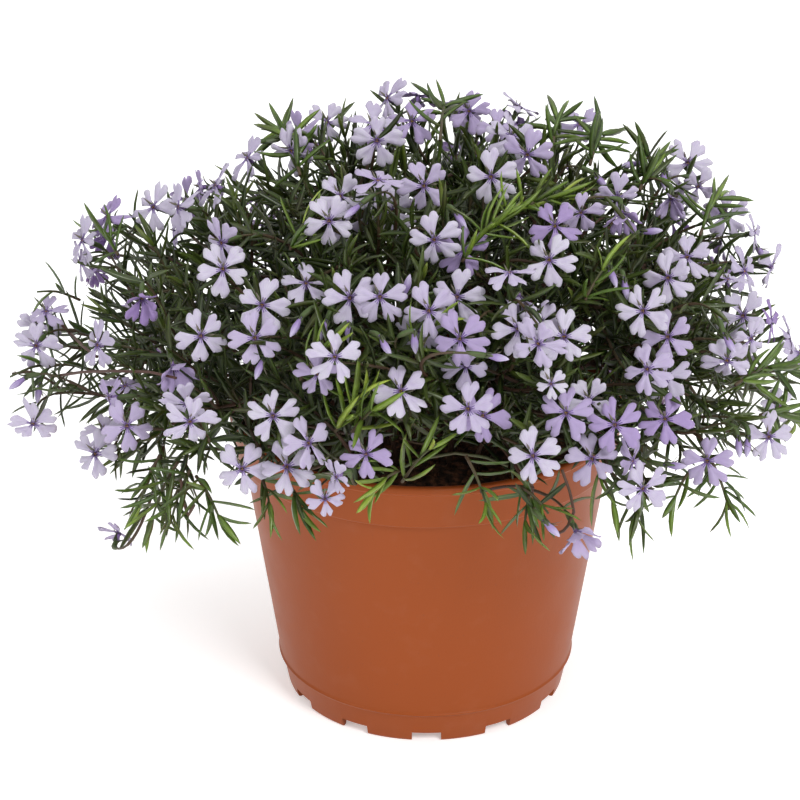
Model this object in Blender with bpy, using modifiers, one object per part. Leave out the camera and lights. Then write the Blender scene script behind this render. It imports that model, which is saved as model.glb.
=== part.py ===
"""Creeping phlox in flower, rooted in its terracotta-coloured plastic pot.

Metres, +Z up. The origin is on the pot's axis, on the surface it stands on, and -Y is the front.
"""
import math
import random
from collections import namedtuple

import bmesh
import bpy
import numpy as np
from mathutils import Matrix, Vector, noise
from mathutils.bvhtree import BVHTree

GAP = 0.0003

# Pot, a 17 cm grower's pot with a collar and a notched foot
POT_HEIGHT = 0.1332
RIM_RADIUS = 0.085
RIM_BEAD = 0.0032
COLLAR_HEIGHT = 0.0200
COLLAR_STEP = 0.0026
WALL_TOP_RADIUS = 0.0795
LEDGE_HEIGHT = 0.0150
LEDGE_RADIUS = 0.0660
WALL_FOOT_RADIUS = 0.0652
FOOT_RADIUS = 0.0616
FOOT_WALL = 0.0026
WALL = 0.0022
PLATE_UNDERSIDE = 0.0060
POT_SIDES = 36
NOTCHES = 12
NOTCH_WIDTH = 0.0125
NOTCH_HEIGHT = 0.0045
DRAIN_HOLES = 6
DRAIN_RADIUS = 0.0040
DRAIN_CIRCLE = 0.0420

# Soil, filling the pot to a little under the rim
SOIL_LEVEL = 0.1240
SOIL_CROWN = 0.0030
SOIL_ROUGHNESS = 0.0016
SOIL_RINGS = (0.31, 0.69)

# Mound, the rounded outline that the blooms lie on
MOUND_CENTRE = np.array((0.0, 0.0, 0.140))
MOUND_RADII = np.array((0.155, 0.138, 0.115))
SPRAYS = 34
LOWEST_SPRAY = math.radians(98)
CROWN_RADIUS = 0.060
STEM_REACH = 0.78
LOW_STEM_REACH = 0.86
ROOT_DEPTH = 0.012
ROUTES = 120
STRAIGHTEST_BEND = 0.50
HOLE_CLEARANCE = 0.0004

# Stems, shoots and their blooms
STEM_RADIUS = 0.0016
SHOOT_RADIUS = 0.0012
BUD_RADIUS = 0.0017
NODE_LENGTH = 0.0024
FIRST_LEVEL = 0.22
TOP_NODE = 0.93
NODE_SPACING = 0.105
BLOOM_RADIUS = 0.0107
NECK_LENGTH = 0.0050
THROAT_RADIUS = 0.0016
THROAT_DEPTH = 0.0016
NOTCH_REACH = 0.74
PETAL_BEAD = 0.0015
PETAL_SLOT = 1
LEAF_LENGTH = (0.0125, 0.0185)
BACK_BLOOMS = 47

# The bloom that reaches furthest to the right, past the edge of the picture
EDGE_BLOOM = np.array((0.1675, 0.047, 0.134))

# Picture in which the front of the plant is seen: where the eye stands and what a pixel spans
EYE_DISTANCE = 1.100
EYE_ELEVATION = math.radians(24.8)
EYE_AIM = np.array((-0.0114, 0.0, 0.1331))
FOCAL_PIXELS = 2556.0
MIDDLE_PIXEL = 400.0

# Each bloom that the picture shows: pixel across and down, degrees its face is turned to the right and up
# from the eye, the way one petal points, its size and how much further back it lies
Seen = namedtuple("Seen", "across down right up petal size back", defaults=(1.0, 0.0))
BLOOMS_LEFT = (
    (247, 158, -60, 35, 95), (215, 185, -65, 25, 100), (199, 187, -80, 0, 90, 0.7),
    (178, 207, -60, 5, 100), (153, 207, -35, 10, 60), (107, 216, -50, 30, 60),
    (110, 236, -30, -45, 0), (82, 240, -60, 15, 80), (80, 262, -75, -10, 75, 0.9),
    (93, 271, 35, -45, -40, 0.7), (221, 243, -45, -15, 110), (223, 269, 0, 5, 50),
    (142, 299, 0, -40, 0), (46, 311, -20, 55, 95, 0.9), (39, 327, -10, 0, 0),
    (36, 346, -20, -25, -60), (97, 345, -50, 0, 80), (201, 336, 0, 0, 45),
    (255, 338, 0, 0, 36), (174, 367, 25, -50, -60), (109, 398, -75, -5, 0),
    (125, 386, -20, 55, 20, 0.9), (127, 426, 5, 0, 55), (95, 454, -25, 0, 0),
    (103, 430, -20, 45, 30, 0.9, 0.012), (33, 424, -10, -45, 160), (187, 404, 0, -40, 26),
    (190, 422, 10, -35, 80), (242, 469, 0, 5, 65),
)
BLOOMS_CROWN = (
    (327, 122, 0, 20, 70, 0.85), (297, 134, -50, 5, 100), (291, 151, -35, -25, -100),
    (373, 124, 0, 35, 85), (377, 141, 5, -10, -60), (387, 98, -55, 30, 60),
    (412, 121, 0, 35, 90), (469, 111, 0, 25, 80), (497, 128, 10, 40, 90, 0.9),
    (512, 136, 40, 25, 20), (527, 155, -15, 0, 80), (424, 186, 0, 0, 40),
    (491, 177, 0, 0, 25), (329, 221, -10, 0, 53), (340, 196, 0, 30, 60),
    (378, 180, 0, 60, 0), (375, 194, 0, 65, 0), (393, 211, 0, 10, 40, 0.95, 0.012),
    (434, 240, 0, -20, 36), (463, 250, 15, 5, 20, 1.0, 0.010), (306, 283, 0, 45, 90),
    (346, 226, 25, 0, 0, 0.9, 0.012), (580, 124, 0, 50, 60),
)
BLOOMS_FRONT = (
    (262, 305, 0, 10, 3), (350, 298, 0, 0, 38), (380, 297, 0, 0, 18), (429, 311, 0, 0, 45),
    (457, 297, 0, 0, 10), (460, 339, 0, 0, 50), (421, 331, 0, -30, -60, 0.9, 0.010),
    (466, 366, 0, -15, -90, 0.9, 0.012), (317, 374, -10, 0, 23, 0.85),
    (335, 357, 15, 15, 18, 0.95), (401, 391, 0, 20, 36), (468, 409, 0, 0, 18),
    (483, 416, 10, -5, 54, 1.0, 0.014), (273, 416, 0, 5, 18), (287, 467, 0, 10, 38),
    (309, 443, 35, 15, 35), (325, 499, 20, -15, 60, 0.75), (336, 477, -50, -20, 0, 0.7),
    (366, 454, 0, 5, 54, 0.9),
)
BLOOMS_RIGHT = (
    (555, 226, 0, 20, 54), (549, 260, 0, 10, 63), (510, 272, 0, 70, 0), (519, 298, 0, -60, -60),
    (518, 329, 0, 0, 45), (541, 323, 0, 10, 70, 0.9, 0.012), (538, 344, -30, -25, -90),
    (564, 337, 0, 0, 13), (581, 213, 10, -30, -60, 0.85), (617, 198, 35, -30, -60),
    (622, 214, 15, -60, -60, 0.9), (643, 311, 0, 0, 36), (668, 337, 0, 0, 37),
    (668, 278, -10, 0, 33), (687, 257, 0, 25, 23), (688, 163, 15, 10, 60),
    (698, 187, 30, -35, -30, 0.9), (671, 199, 0, -50, 20, 0.9), (726, 214, 0, 5, 18),
    (755, 234, 80, 5, 90, 0.8), (772, 267, 70, -10, 60), (745, 271, 55, 15, 90),
    (728, 279, 0, 65, 0, 0.8, 0.010), (743, 316, 10, 0, 50), (772, 322, 80, 0, 90, 0.9),
    (751, 339, 50, -35, -50, 0.9), (727, 361, 0, -35, 54), (647, 369, -10, 25, 36),
    (665, 376, 5, 0, 10), (665, 419, 0, 15, 62), (633, 461, 65, 0, 30), (707, 461, 0, 0, 13),
    (769, 437, 25, 0, 18), (551, 384, 0, 0, 50, 0.6), (566, 413, -5, 5, 8),
    (589, 401, 0, -10, 54, 0.9, 0.012), (615, 425, 0, 0, 28), (592, 459, 0, 10, 28),
    (533, 456, 0, 0, 33), (643, 489, 20, -25, 30), (577, 533, 35, -50, -80),
)

# Each closed bud that the picture shows: pixel across and down, and the way it points
BUDS_SEEN = (
    (15, 385, 215), (38, 396, 262), (294, 330, 240), (322, 334, 250), (349, 337, 275),
    (387, 349, 300), (415, 346, 275), (408, 282, 75), (462, 222, 305), (614, 280, 290),
    (626, 292, 280), (603, 184, 310), (664, 183, 275), (763, 255, 310), (739, 450, 275),
    (747, 450, 265), (679, 466, 355), (731, 346, 300), (554, 531, 315), (258, 372, 250),
    (501, 358, 350), (655, 231, 5), (628, 165, 190), (350, 213, 220),
)


def unit(vector):
    return vector / np.linalg.norm(vector)


def spin_about(vector, axis, angle):
    """The vector turned about an axis by an angle in radians."""
    turned = Matrix.Rotation(angle, 3, Vector(axis)) @ Vector(vector)
    return np.array(turned)


AHEAD = np.array((0.0, math.cos(EYE_ELEVATION), -math.sin(EYE_ELEVATION)))
UPWARD = np.array((0.0, math.sin(EYE_ELEVATION), math.cos(EYE_ELEVATION)))
SIDEWAYS = np.array((1.0, 0.0, 0.0))
EYE = EYE_AIM - EYE_DISTANCE * AHEAD


def sight_line(across, down):
    """The direction from the eye through a pixel of the picture."""
    slope_x = (across - MIDDLE_PIXEL) / FOCAL_PIXELS
    slope_y = (MIDDLE_PIXEL - down) / FOCAL_PIXELS
    return unit(AHEAD + slope_x * SIDEWAYS + slope_y * UPWARD)


def on_mound(line, back=0.0):
    """Where a sight line meets the mound, or comes nearest to it, and a little further back."""
    start = (EYE - MOUND_CENTRE) / MOUND_RADII
    step = line / MOUND_RADII
    nearest = -start.dot(step) / step.dot(step)
    miss = np.linalg.norm(start + nearest * step)
    if miss < 1.0:
        nearest -= math.sqrt(1.0 - miss * miss) / np.linalg.norm(step)
    return EYE + (nearest + back) * line


def mound_direction(point):
    return unit((point - MOUND_CENTRE) / MOUND_RADII)


def bezier(controls, t):
    a, b, c, d = controls
    t = np.asarray(t)[..., None]
    s = 1.0 - t
    return s * s * s * a + 3 * s * s * t * b + 3 * s * t * t * c + t * t * t * d


def bezier_slope(controls, t):
    a, b, c, d = controls
    s = 1.0 - t
    return unit(3 * s * s * (b - a) + 6 * s * t * (c - b) + 3 * t * t * (d - c))


def pot_radius(height):
    """The pot's outer radius at a height."""
    if height > POT_HEIGHT - COLLAR_HEIGHT:
        return RIM_RADIUS
    rise = (height - LEDGE_HEIGHT) / (POT_HEIGHT - COLLAR_HEIGHT - LEDGE_HEIGHT)
    return WALL_FOOT_RADIUS + max(rise, 0.0) * (WALL_TOP_RADIUS - WALL_FOOT_RADIUS)


def clear_of_pot(point, margin):
    """Whether a point keeps a margin to the pot and the soil in it."""
    across = math.hypot(point[0], point[1])
    if point[2] > POT_HEIGHT + margin or across > pot_radius(point[2]) + margin:
        return True
    return across < RIM_RADIUS - 2 * WALL - margin and point[2] > SOIL_LEVEL + SOIL_CROWN + margin


class Crowd:
    """Beads strung along everything placed so far, which new pieces are kept clear of."""

    def __init__(self):
        self.beads = np.zeros((60000, 5))
        self.count = 0

    def add(self, points, radius, owner):
        points = np.atleast_2d(points)
        last = self.count + len(points)
        self.beads[self.count:last, :3] = points
        self.beads[self.count:last, 3] = radius
        self.beads[self.count:last, 4] = owner
        self.count = last

    def room(self, points, radius, but=()):
        """The narrowest clear distance from the points to beads of any other owner."""
        points = np.atleast_2d(points)
        beads = self.beads[:self.count]
        middle = points.mean(axis=0)
        span = np.abs(points - middle).max() + 0.012
        near = (np.abs(beads[:, :3] - middle) < span).all(axis=1)
        for owner in but:
            near &= beads[:, 4] != owner
        beads = beads[near]
        if not len(beads):
            return 0.012
        apart = np.linalg.norm(points[:, None, :] - beads[None, :, :3], axis=2)
        return float((apart - beads[None, :, 3]).min() - radius)


class Head:
    """One bloom or bud: where it is, which way it faces and how it is turned."""

    def __init__(self, place, facing, petal, size, bud=False):
        self.place = place
        self.facing = facing
        self.petal = unit(petal - petal.dot(facing) * facing)
        self.size = size
        self.bud = bud

    def rays(self):
        """The direction of each petal from the throat."""
        return [spin_about(self.petal, self.facing, k * math.tau / 5) for k in range(5)]

    def beads(self):
        if self.bud:
            steps = np.linspace(-0.004, 0.006, 5)[:, None]
            return self.place + steps * self.facing
        points = [self.place]
        for ray in self.rays():
            side = np.cross(self.facing, ray)
            for reach, spread in ((0.25, 0.0), (0.5, 0.12), (0.5, -0.12), (0.72, 0.2), (0.72, -0.2),
                                  (0.92, 0.1), (0.92, -0.1), (0.92, 0.3), (0.92, -0.3)):
                points.append(self.place + BLOOM_RADIUS * self.size * (reach * ray + spread * side))
        return np.array(points)

    def stalk_beads(self):
        """The straight end of the stalk behind the head."""
        return self.place - np.array((0.0030, 0.0055, 0.0080))[:, None] * self.facing

    def root(self):
        """The point under the head where its stalk arrives."""
        depth = 0.006 if self.bud else THROAT_DEPTH
        return self.place - depth * self.facing

    def neck(self):
        """The point from which the stalk runs straight up to the head."""
        return self.root() - (0.0 if self.bud else NECK_LENGTH) * self.facing


def seen_frame(line):
    """Directions at a bloom as the eye sees them: to the eye, to the right and up."""
    return -line, SIDEWAYS, unit(np.cross(SIDEWAYS, line))


# How far a head may move along its sight line, nearest first, until nothing is in its way
SHIFTS = (0.0, 0.003, -0.003, 0.006, -0.006, 0.009, -0.009, 0.012, -0.012, 0.015, -0.015, 0.018, 0.021,
          0.024, 0.028, 0.032, 0.036, 0.040)


def add_head(head, heads, crowd, first_owner=0):
    owner = first_owner + len(heads)
    crowd.add(head.beads(), BUD_RADIUS if head.bud else PETAL_BEAD, owner)
    crowd.add(head.stalk_beads(), SHOOT_RADIUS, 3000 + owner)
    heads.append(head)


def clear_head(line, facing, petal, size, back, crowd, bud=False):
    """A head on its sight line, moved along it until nothing is in its way."""
    radius = BUD_RADIUS if bud else PETAL_BEAD
    best, widest = None, -math.inf
    for shift in SHIFTS:
        head = Head(on_mound(line, back + shift), facing, petal, size, bud)
        room = min(crowd.room(head.beads(), radius), crowd.room(head.stalk_beads(), SHOOT_RADIUS))
        if room > widest:
            best, widest = head, room
        if room > 0.0006:
            break
    return best


def seen_heads(crowd):
    """The blooms and buds that the picture shows, each moved along its sight line until it is clear."""
    heads = []
    for row in BLOOMS_FRONT + BLOOMS_CROWN + BLOOMS_LEFT + BLOOMS_RIGHT:
        seen = Seen(*row)
        line = sight_line(seen.across, seen.down)
        to_eye, right, up = seen_frame(line)
        turn, lift, petal = map(math.radians, (seen.right, seen.up, seen.petal))
        facing = math.cos(lift) * (math.cos(turn) * to_eye + math.sin(turn) * right) + math.sin(lift) * up
        ray = math.cos(petal) * right + math.sin(petal) * up
        head = clear_head(line, facing, ray, seen.size, seen.back, crowd)
        add_head(head, heads, crowd)
    for across, down, way in BUDS_SEEN:
        line = sight_line(across, down)
        to_eye, right, up = seen_frame(line)
        facing = unit(math.cos(math.radians(way)) * right + math.sin(math.radians(way)) * up + 0.3 * to_eye)
        head = clear_head(line, facing, to_eye, 1.0, 0.0, crowd, bud=True)
        add_head(head, heads, crowd)
    return heads


def turned_away(direction):
    """Whether a place on the mound looks away from the eye, where the picture shows no bloom."""
    outward = unit(direction / MOUND_RADII)
    to_eye = unit(EYE - (MOUND_CENTRE + MOUND_RADII * direction))
    return outward.dot(to_eye) < -0.06


def back_heads(crowd, draw, first_owner):
    """Blooms over the far side of the mound, spread as evenly as those in front."""
    heads = []
    spots = 260
    order = []
    for k in range(spots):
        height = 1.0 - (k + 0.5) / spots * (1.0 - math.cos(math.radians(118)))
        around = k * math.pi * (3 - math.sqrt(5))
        across = math.sqrt(1.0 - height * height)
        direction = np.array((across * math.cos(around), across * math.sin(around), height))
        if turned_away(direction):
            order.append(direction)
    draw.shuffle(order)
    edge = Head(EDGE_BLOOM, unit(np.array((0.55, -0.2, 0.8))), np.array((1.0, 0.0, -0.6)), 1.0)
    add_head(edge, heads, crowd, first_owner)
    for direction in order:
        if len(heads) == BACK_BLOOMS:
            break
        reach = draw.uniform(0.95, 1.06)
        place = MOUND_CENTRE + MOUND_RADII * direction * reach
        tilt = np.array([draw.gauss(0, 0.45) for _ in range(3)])
        facing = unit(unit(direction / MOUND_RADII) + tilt + np.array((0, 0, 0.15)))
        petal = np.cross(facing, unit(np.array([draw.gauss(0, 1) for _ in range(3)])))
        head = Head(place, facing, petal, draw.uniform(0.85, 1.03))
        if min(crowd.room(head.beads(), PETAL_BEAD), crowd.room(head.stalk_beads(), PETAL_BEAD)) > 0.0030:
            add_head(head, heads, crowd, first_owner)
    return heads


def spray_directions():
    """Even directions over the mound, with the low ones left out in front where the soil shows."""
    directions = []
    for k in range(SPRAYS + 3):
        share = (k + 0.5) / (SPRAYS + 3)
        height = 1.0 - share * (1.0 - math.cos(LOWEST_SPRAY))
        around = k * math.pi * (3 - math.sqrt(5)) + 0.4
        across = math.sqrt(1.0 - height * height)
        direction = np.array((across * math.cos(around), across * math.sin(around), height))
        if direction[2] < 0.12 and abs(direction[0]) < 0.35 and direction[1] < 0:
            continue
        directions.append(direction)
    return directions


def stem_controls(direction):
    """The curve of a main stem from its root in the soil, up and over the rim, to its tip in the mound."""
    polar = math.acos(direction[2]) / LOWEST_SPRAY
    low = max(polar - 0.6, 0.0) / 0.4
    flat = unit(np.array((direction[0], direction[1], 0.0)))
    root = flat * CROWN_RADIUS * polar + np.array((0, 0, SOIL_LEVEL - ROOT_DEPTH))
    tip = MOUND_CENTRE + MOUND_RADII * direction * (STEM_REACH + low * (LOW_STEM_REACH - STEM_REACH))
    knee = root + flat * 0.010 * polar + np.array((0, 0, 0.058 - 0.008 * polar))
    arrival = unit(direction * np.array((1, 1, 0.6)) + np.array((0, 0, 0.9 * (1 - polar) - 0.35 * low)))
    return root, knee, tip - arrival * (0.034 + 0.006 * low), tip


def chords(points, spacing=0.0022):
    """Points at even steps along the straight lengths between stations."""
    runs = []
    for a, b in zip(points, points[1:]):
        count = max(2, int(np.linalg.norm(b - a) / spacing) + 1)
        runs.append(a + np.linspace(0, 1, count, endpoint=False)[:, None] * (b - a))
    return np.vstack(runs + [points[-1:]])


def curve_length(controls):
    return np.linalg.norm(np.diff(bezier(controls, np.linspace(0, 1, 30)), axis=0), axis=1).sum()


class Shoot:
    """A side shoot from a stem's node, or from its tip, to a bloom or bud."""

    def __init__(self, controls, head, owner):
        self.controls = controls
        self.head = head
        self.owner = owner
        length = curve_length(controls)
        self.levels = [0.0]
        self.whorl = None
        if head.bud:
            self.levels += [0.4, 0.75, 1.0]
        else:
            whorl = 0.55 if length > 0.024 else 0.42
            if length > 0.055:
                self.levels.append(0.5 * whorl)
            self.whorl = len(self.levels) + 1
            self.levels += [whorl, whorl + NODE_LENGTH / length, 1.0]
        self.points = bezier(controls, np.array(self.levels))
        if not head.bud:
            self.points = np.vstack((self.points, head.root()))

    def straightness(self):
        """How nearly each length between stations runs the way that both its ends are heading."""
        lowest = 1.0
        for k in range(len(self.levels) - 1):
            chord = unit(self.points[k + 1] - self.points[k])
            for level in (self.levels[k] + 0.02 * (k == 0), self.levels[k + 1]):
                lowest = min(lowest, chord.dot(bezier_slope(self.controls, level)))
        return lowest


class Spray:
    """One leafy stem: its curve, its nodes along the curve, and the heads that it carries."""

    def __init__(self, number, direction):
        self.number = number
        self.direction = direction
        self.heads = []
        self.nodes = []
        self.shoots = []

    def levels(self):
        """The stations along the stem, a short length at each node and longer ones between."""
        half = NODE_LENGTH / curve_length(self.controls) / 2
        levels = [0.0, FIRST_LEVEL]
        for level, _ in self.nodes:
            levels += [level - half, level + half]
        return levels + [1.0]


def share_out(heads, sprays):
    """Each head goes to the spray that points at it most nearly, and the sprays lean to their heads."""
    for _ in range(5):
        for spray in sprays:
            spray.heads = []
        for owner, head in enumerate(heads):
            aim = mound_direction(head.root())
            nearest = max(sprays, key=lambda spray: spray.direction.dot(aim))
            nearest.heads.append((owner, head, aim))
        for spray in sprays:
            for _, _, aim in spray.heads:
                if aim[2] > math.cos(LOWEST_SPRAY) + 0.02:
                    spray.direction = unit(spray.direction + 0.25 * aim)


def place_nodes(spray):
    """The head that best suits the end of the stem, then even nodes down from there for the others."""
    stem = bezier(spray.controls, np.linspace(0, 1, 101))
    onward = bezier_slope(spray.controls, 1.0)
    wanted = []
    for owner, head, _ in spray.heads:
        offset = np.linalg.norm(stem - head.neck(), axis=1)
        ahead = head.neck() - stem[-1]
        fit = unit(ahead).dot(onward + 0.7 * head.facing) - (np.linalg.norm(ahead) < 0.018)
        wanted.append((offset.argmin() / 100 - offset.min() * 8, owner, head, fit))
    spray.tip_head = max(wanted, key=lambda row: row[3], default=None)
    if spray.tip_head and spray.tip_head[3] < 0.5:
        spray.tip_head = None
    wanted = sorted((row for row in wanted if row is not spray.tip_head), key=lambda row: -row[0])
    count = max(2, math.ceil(len(wanted) / 2))
    for k in range(count):
        spray.nodes.append((TOP_NODE - NODE_SPACING * k, wanted[2 * k:2 * k + 2]))
    spray.nodes.reverse()


def shoot_room(shoot, crowd, stem_owner):
    """The clear room round a shoot, apart from where it leaves its stem and meets its head."""
    points = chords(shoot.points)
    bends = (shoot.straightness() - STRAIGHTEST_BEND) * 0.01
    if not all(clear_of_pot(point, SHOOT_RADIUS + 2 * GAP) for point in points):
        bends -= 0.01
    own = (shoot.owner, 3000 + shoot.owner)
    beside = crowd.room(points[2:-1], SHOOT_RADIUS, own + (stem_owner,))
    beyond = crowd.room(points[4:-1], SHOOT_RADIUS, own) if len(points) > 6 else beside
    around = crowd.room(points[2:-3], SHOOT_RADIUS, own[1:] + (stem_owner,)) if len(points) > 6 else beside
    return min(beside, beyond, around, bends)


def route(root, side, lead, head, owner, crowd, draw, stem_owner):
    """The clearest of several shoots from a root, on a given side of its stem, to a head's underside."""
    end = head.neck()
    reach = np.linalg.norm(end - root)
    best = None
    for attempt in range(ROUTES):
        loose = min(attempt / 50, 1.6)
        sway = np.array([draw.gauss(0, 1) for _ in range(3)])
        away = unit(lead + loose * 0.7 * sway + 0.35 * (end - root) / reach)
        swing = np.array([draw.gauss(0, 1) for _ in range(3)]) * 0.22 * loose * reach
        back = draw.uniform(0.30, 0.55) * reach
        controls = (root, root + away * reach * draw.uniform(0.25, 0.5),
                    end - head.facing * back + swing, end)
        if away.dot(side) < 0.4:
            continue
        shoot = Shoot(controls, head, owner)
        shoot.room = shoot_room(shoot, crowd, stem_owner)
        if best is None or shoot.room > best.room:
            best = shoot
        if best.room > 0.0007:
            break
    return best


def main_stem_frame(controls, level):
    """Directions along and across the stem at one of its nodes."""
    tangent = bezier_slope(controls, level)
    first = unit(np.cross(tangent, np.array((0.0, 0.0, 1.0)) + 0.01 * SIDEWAYS))
    return tangent, first, np.cross(tangent, first)


def grow_plan():
    """The whole plant as curves and heads, before any of it is a mesh."""
    draw = random.Random(29)
    crowd = Crowd()
    heads = seen_heads(crowd)
    heads += back_heads(crowd, draw, len(heads))
    sprays = [Spray(k, direction) for k, direction in enumerate(spray_directions())]
    share_out(heads, sprays)
    for spray in sprays:
        spray.controls = stem_controls(spray.direction)
        place_nodes(spray)
        stations = bezier(spray.controls, np.array(spray.levels()))
        crowd.add(chords(stations, 0.0015), STEM_RADIUS, 1000 + spray.number)
    for spray in sprays:
        plan_shoots(spray, crowd, draw)
    return sprays, crowd, draw


def plan_shoots(spray, crowd, draw):
    """Each head's shoot, from the end of the stem or from a free side of the node that suits it best."""
    stem_owner = 1000 + spray.number
    waiting = [(index, row) for index, (_, group) in enumerate(spray.nodes) for row in group]
    waiting.reverse()
    if spray.tip_head:
        _, owner, head, _ = spray.tip_head
        onward = bezier_slope(spray.controls, 1.0)
        shoot = route(spray.controls[3], onward, onward, head, owner, crowd, draw, stem_owner)
        if shoot.room > 0 or not waiting:
            add_shoot(spray, None, shoot, crowd)
        else:
            waiting.append((len(spray.nodes) - 1, spray.tip_head))
    frames = [main_stem_frame(spray.controls, level) for level, _ in spray.nodes]
    free = [[first, second, -first, -second] for _, first, second in frames]
    for wish, (_, owner, head, _) in waiting:
        best = None
        for index in sorted(range(len(frames)), key=lambda node: abs(node - wish)):
            centre = bezier(spray.controls, spray.nodes[index][0])
            aim = unit(head.neck() - centre)
            if not free[index]:
                continue
            side = max(free[index], key=lambda way: way.dot(aim))
            root = centre + side * STEM_RADIUS * 0.7
            lead = unit(side + 0.7 * frames[index][0])
            shoot = route(root, side, lead, head, owner, crowd, draw, stem_owner)
            shoot.side = side
            shoot.node = index
            if best is None or shoot.room > best.room:
                best = shoot
            if best.room > GAP:
                break
        free[best.node] = [way for way in free[best.node] if way is not best.side]
        add_shoot(spray, best.node, best, crowd)


def add_shoot(spray, node, shoot, crowd):
    shoot.node = node
    spray.shoots.append(shoot)
    crowd.add(chords(shoot.points, 0.0015)[1:], SHOOT_RADIUS, 2000 + shoot.owner)


def remove_everything():
    for item in list(bpy.data.objects):
        bpy.data.objects.remove(item)


def new_collection(name):
    collection = bpy.data.collections.new(name)
    bpy.context.scene.collection.children.link(collection)
    return collection


def plain_material(name, colour, roughness):
    material = bpy.data.materials.new(name)
    material.use_nodes = True
    shader = material.node_tree.nodes["Principled BSDF"]
    shader.inputs["Base Color"].default_value = (*colour, 1.0)
    shader.inputs["Roughness"].default_value = roughness
    shader.inputs["Metallic"].default_value = 0.0
    return material


def add_object(name, mesh, collection, *materials):
    item = bpy.data.objects.new(name, mesh)
    collection.objects.link(item)
    for material in materials:
        mesh.materials.append(material)
    return item


def turned_solid(name, profile, sides, collection, material):
    """A solid turned about +Z from a profile that runs down its outer side."""
    mesh = bpy.data.meshes.new(name)
    mesh.from_pydata([(radius, 0.0, height) for radius, height in profile],
                     [(k, k + 1) for k in range(len(profile) - 1)], [])
    item = add_object(name, mesh, collection, material)
    screw = item.modifiers.new("turn", "SCREW")
    screw.steps = screw.render_steps = sides
    screw.use_merge_vertices = True
    screw.merge_threshold = 0.00005
    screw.use_normal_calculate = False
    return item


def as_mesh(item):
    """The object's evaluated shape, kept as its plain mesh."""
    depsgraph = bpy.context.evaluated_depsgraph_get()
    mesh = bpy.data.meshes.new_from_object(item.evaluated_get(depsgraph))
    item.modifiers.clear()
    item.data = mesh
    return item


def cut(item, cutter):
    cutter.hide_render = True
    cutter.display_type = "WIRE"
    boolean = item.modifiers.new("cut", "BOOLEAN")
    boolean.operation = "DIFFERENCE"
    boolean.solver = "EXACT"
    boolean.object = cutter
    return boolean


def pot_profile():
    """Down the outside from the rim, under the foot and the plate, with the inside walked back first."""
    collar_foot = POT_HEIGHT - COLLAR_HEIGHT
    inner_foot = FOOT_RADIUS - FOOT_WALL
    plate_top = PLATE_UNDERSIDE + WALL
    inside = [
        (0.0, plate_top),
        (WALL_FOOT_RADIUS - WALL - 0.0004, plate_top),
        (WALL_TOP_RADIUS - WALL, collar_foot - 0.0015),
        (WALL_TOP_RADIUS + COLLAR_STEP - WALL, collar_foot + 0.0010),
        (RIM_RADIUS - 0.0030, POT_HEIGHT),
    ]
    outside = [
        (RIM_RADIUS - 0.0004, POT_HEIGHT - 0.0004),
        (RIM_RADIUS, POT_HEIGHT - RIM_BEAD),
        (RIM_RADIUS - 0.0009, POT_HEIGHT - RIM_BEAD - 0.0006),
        (WALL_TOP_RADIUS + COLLAR_STEP + 0.0005, collar_foot + 0.0008),
        (WALL_TOP_RADIUS, collar_foot),
        (WALL_FOOT_RADIUS, LEDGE_HEIGHT + 0.0010),
        (LEDGE_RADIUS, LEDGE_HEIGHT),
        (LEDGE_RADIUS - 0.0016, LEDGE_HEIGHT - 0.0010),
        (FOOT_RADIUS, 0.0),
        (inner_foot, 0.0),
        (inner_foot - 0.0002, PLATE_UNDERSIDE),
        (0.0, PLATE_UNDERSIDE),
    ]
    return inside + outside


def build_pot(collection, cutters):
    material = plain_material("terracotta_plastic", (0.40, 0.11, 0.045), 0.42)
    pot = turned_solid("pot", pot_profile(), POT_SIDES, collection, material)
    tools = bmesh.new()
    for k in range(NOTCHES):
        around = -math.pi / 2 + k * math.tau / NOTCHES
        place = (Matrix.Rotation(around, 4, "Z") @ Matrix.Translation((FOOT_RADIUS, 0, 0))
                 @ Matrix.Diagonal((0.012, NOTCH_WIDTH, 2 * NOTCH_HEIGHT, 1)))
        bmesh.ops.create_cube(tools, size=1.0, matrix=place)
    for k in range(DRAIN_HOLES):
        around = (k + 0.5) * math.tau / DRAIN_HOLES
        place = Matrix.Translation((DRAIN_CIRCLE * math.cos(around), DRAIN_CIRCLE * math.sin(around),
                                    PLATE_UNDERSIDE + WALL / 2))
        bmesh.ops.create_cone(tools, cap_ends=True, segments=6, radius1=DRAIN_RADIUS,
                              radius2=DRAIN_RADIUS, depth=3 * WALL, matrix=place)
    mesh = bpy.data.meshes.new("pot_cutters")
    tools.to_mesh(mesh)
    tools.free()
    cut(pot, add_object("pot_cutters", mesh, cutters))
    pot.data.shade_smooth()
    return pot


def soil_height(x, y):
    """The height of the soil's crumbly surface, a little domed in the middle."""
    across = math.hypot(x, y) / RIM_RADIUS
    crumbs = noise.noise(Vector((x, y, 0.3)) * 45)
    return SOIL_LEVEL + SOIL_CROWN * (1 - across * across) + SOIL_ROUGHNESS * crumbs


def soil_side(height):
    """The radius of the pot's inner wall at a height, less the gap to it."""
    collar_foot = POT_HEIGHT - COLLAR_HEIGHT
    plate_top = PLATE_UNDERSIDE + WALL
    low = WALL_FOOT_RADIUS - WALL - 0.0004
    rise = (height - plate_top) / (collar_foot - 0.0015 - plate_top)
    return low + rise * (WALL_TOP_RADIUS - WALL - low) - GAP


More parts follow.
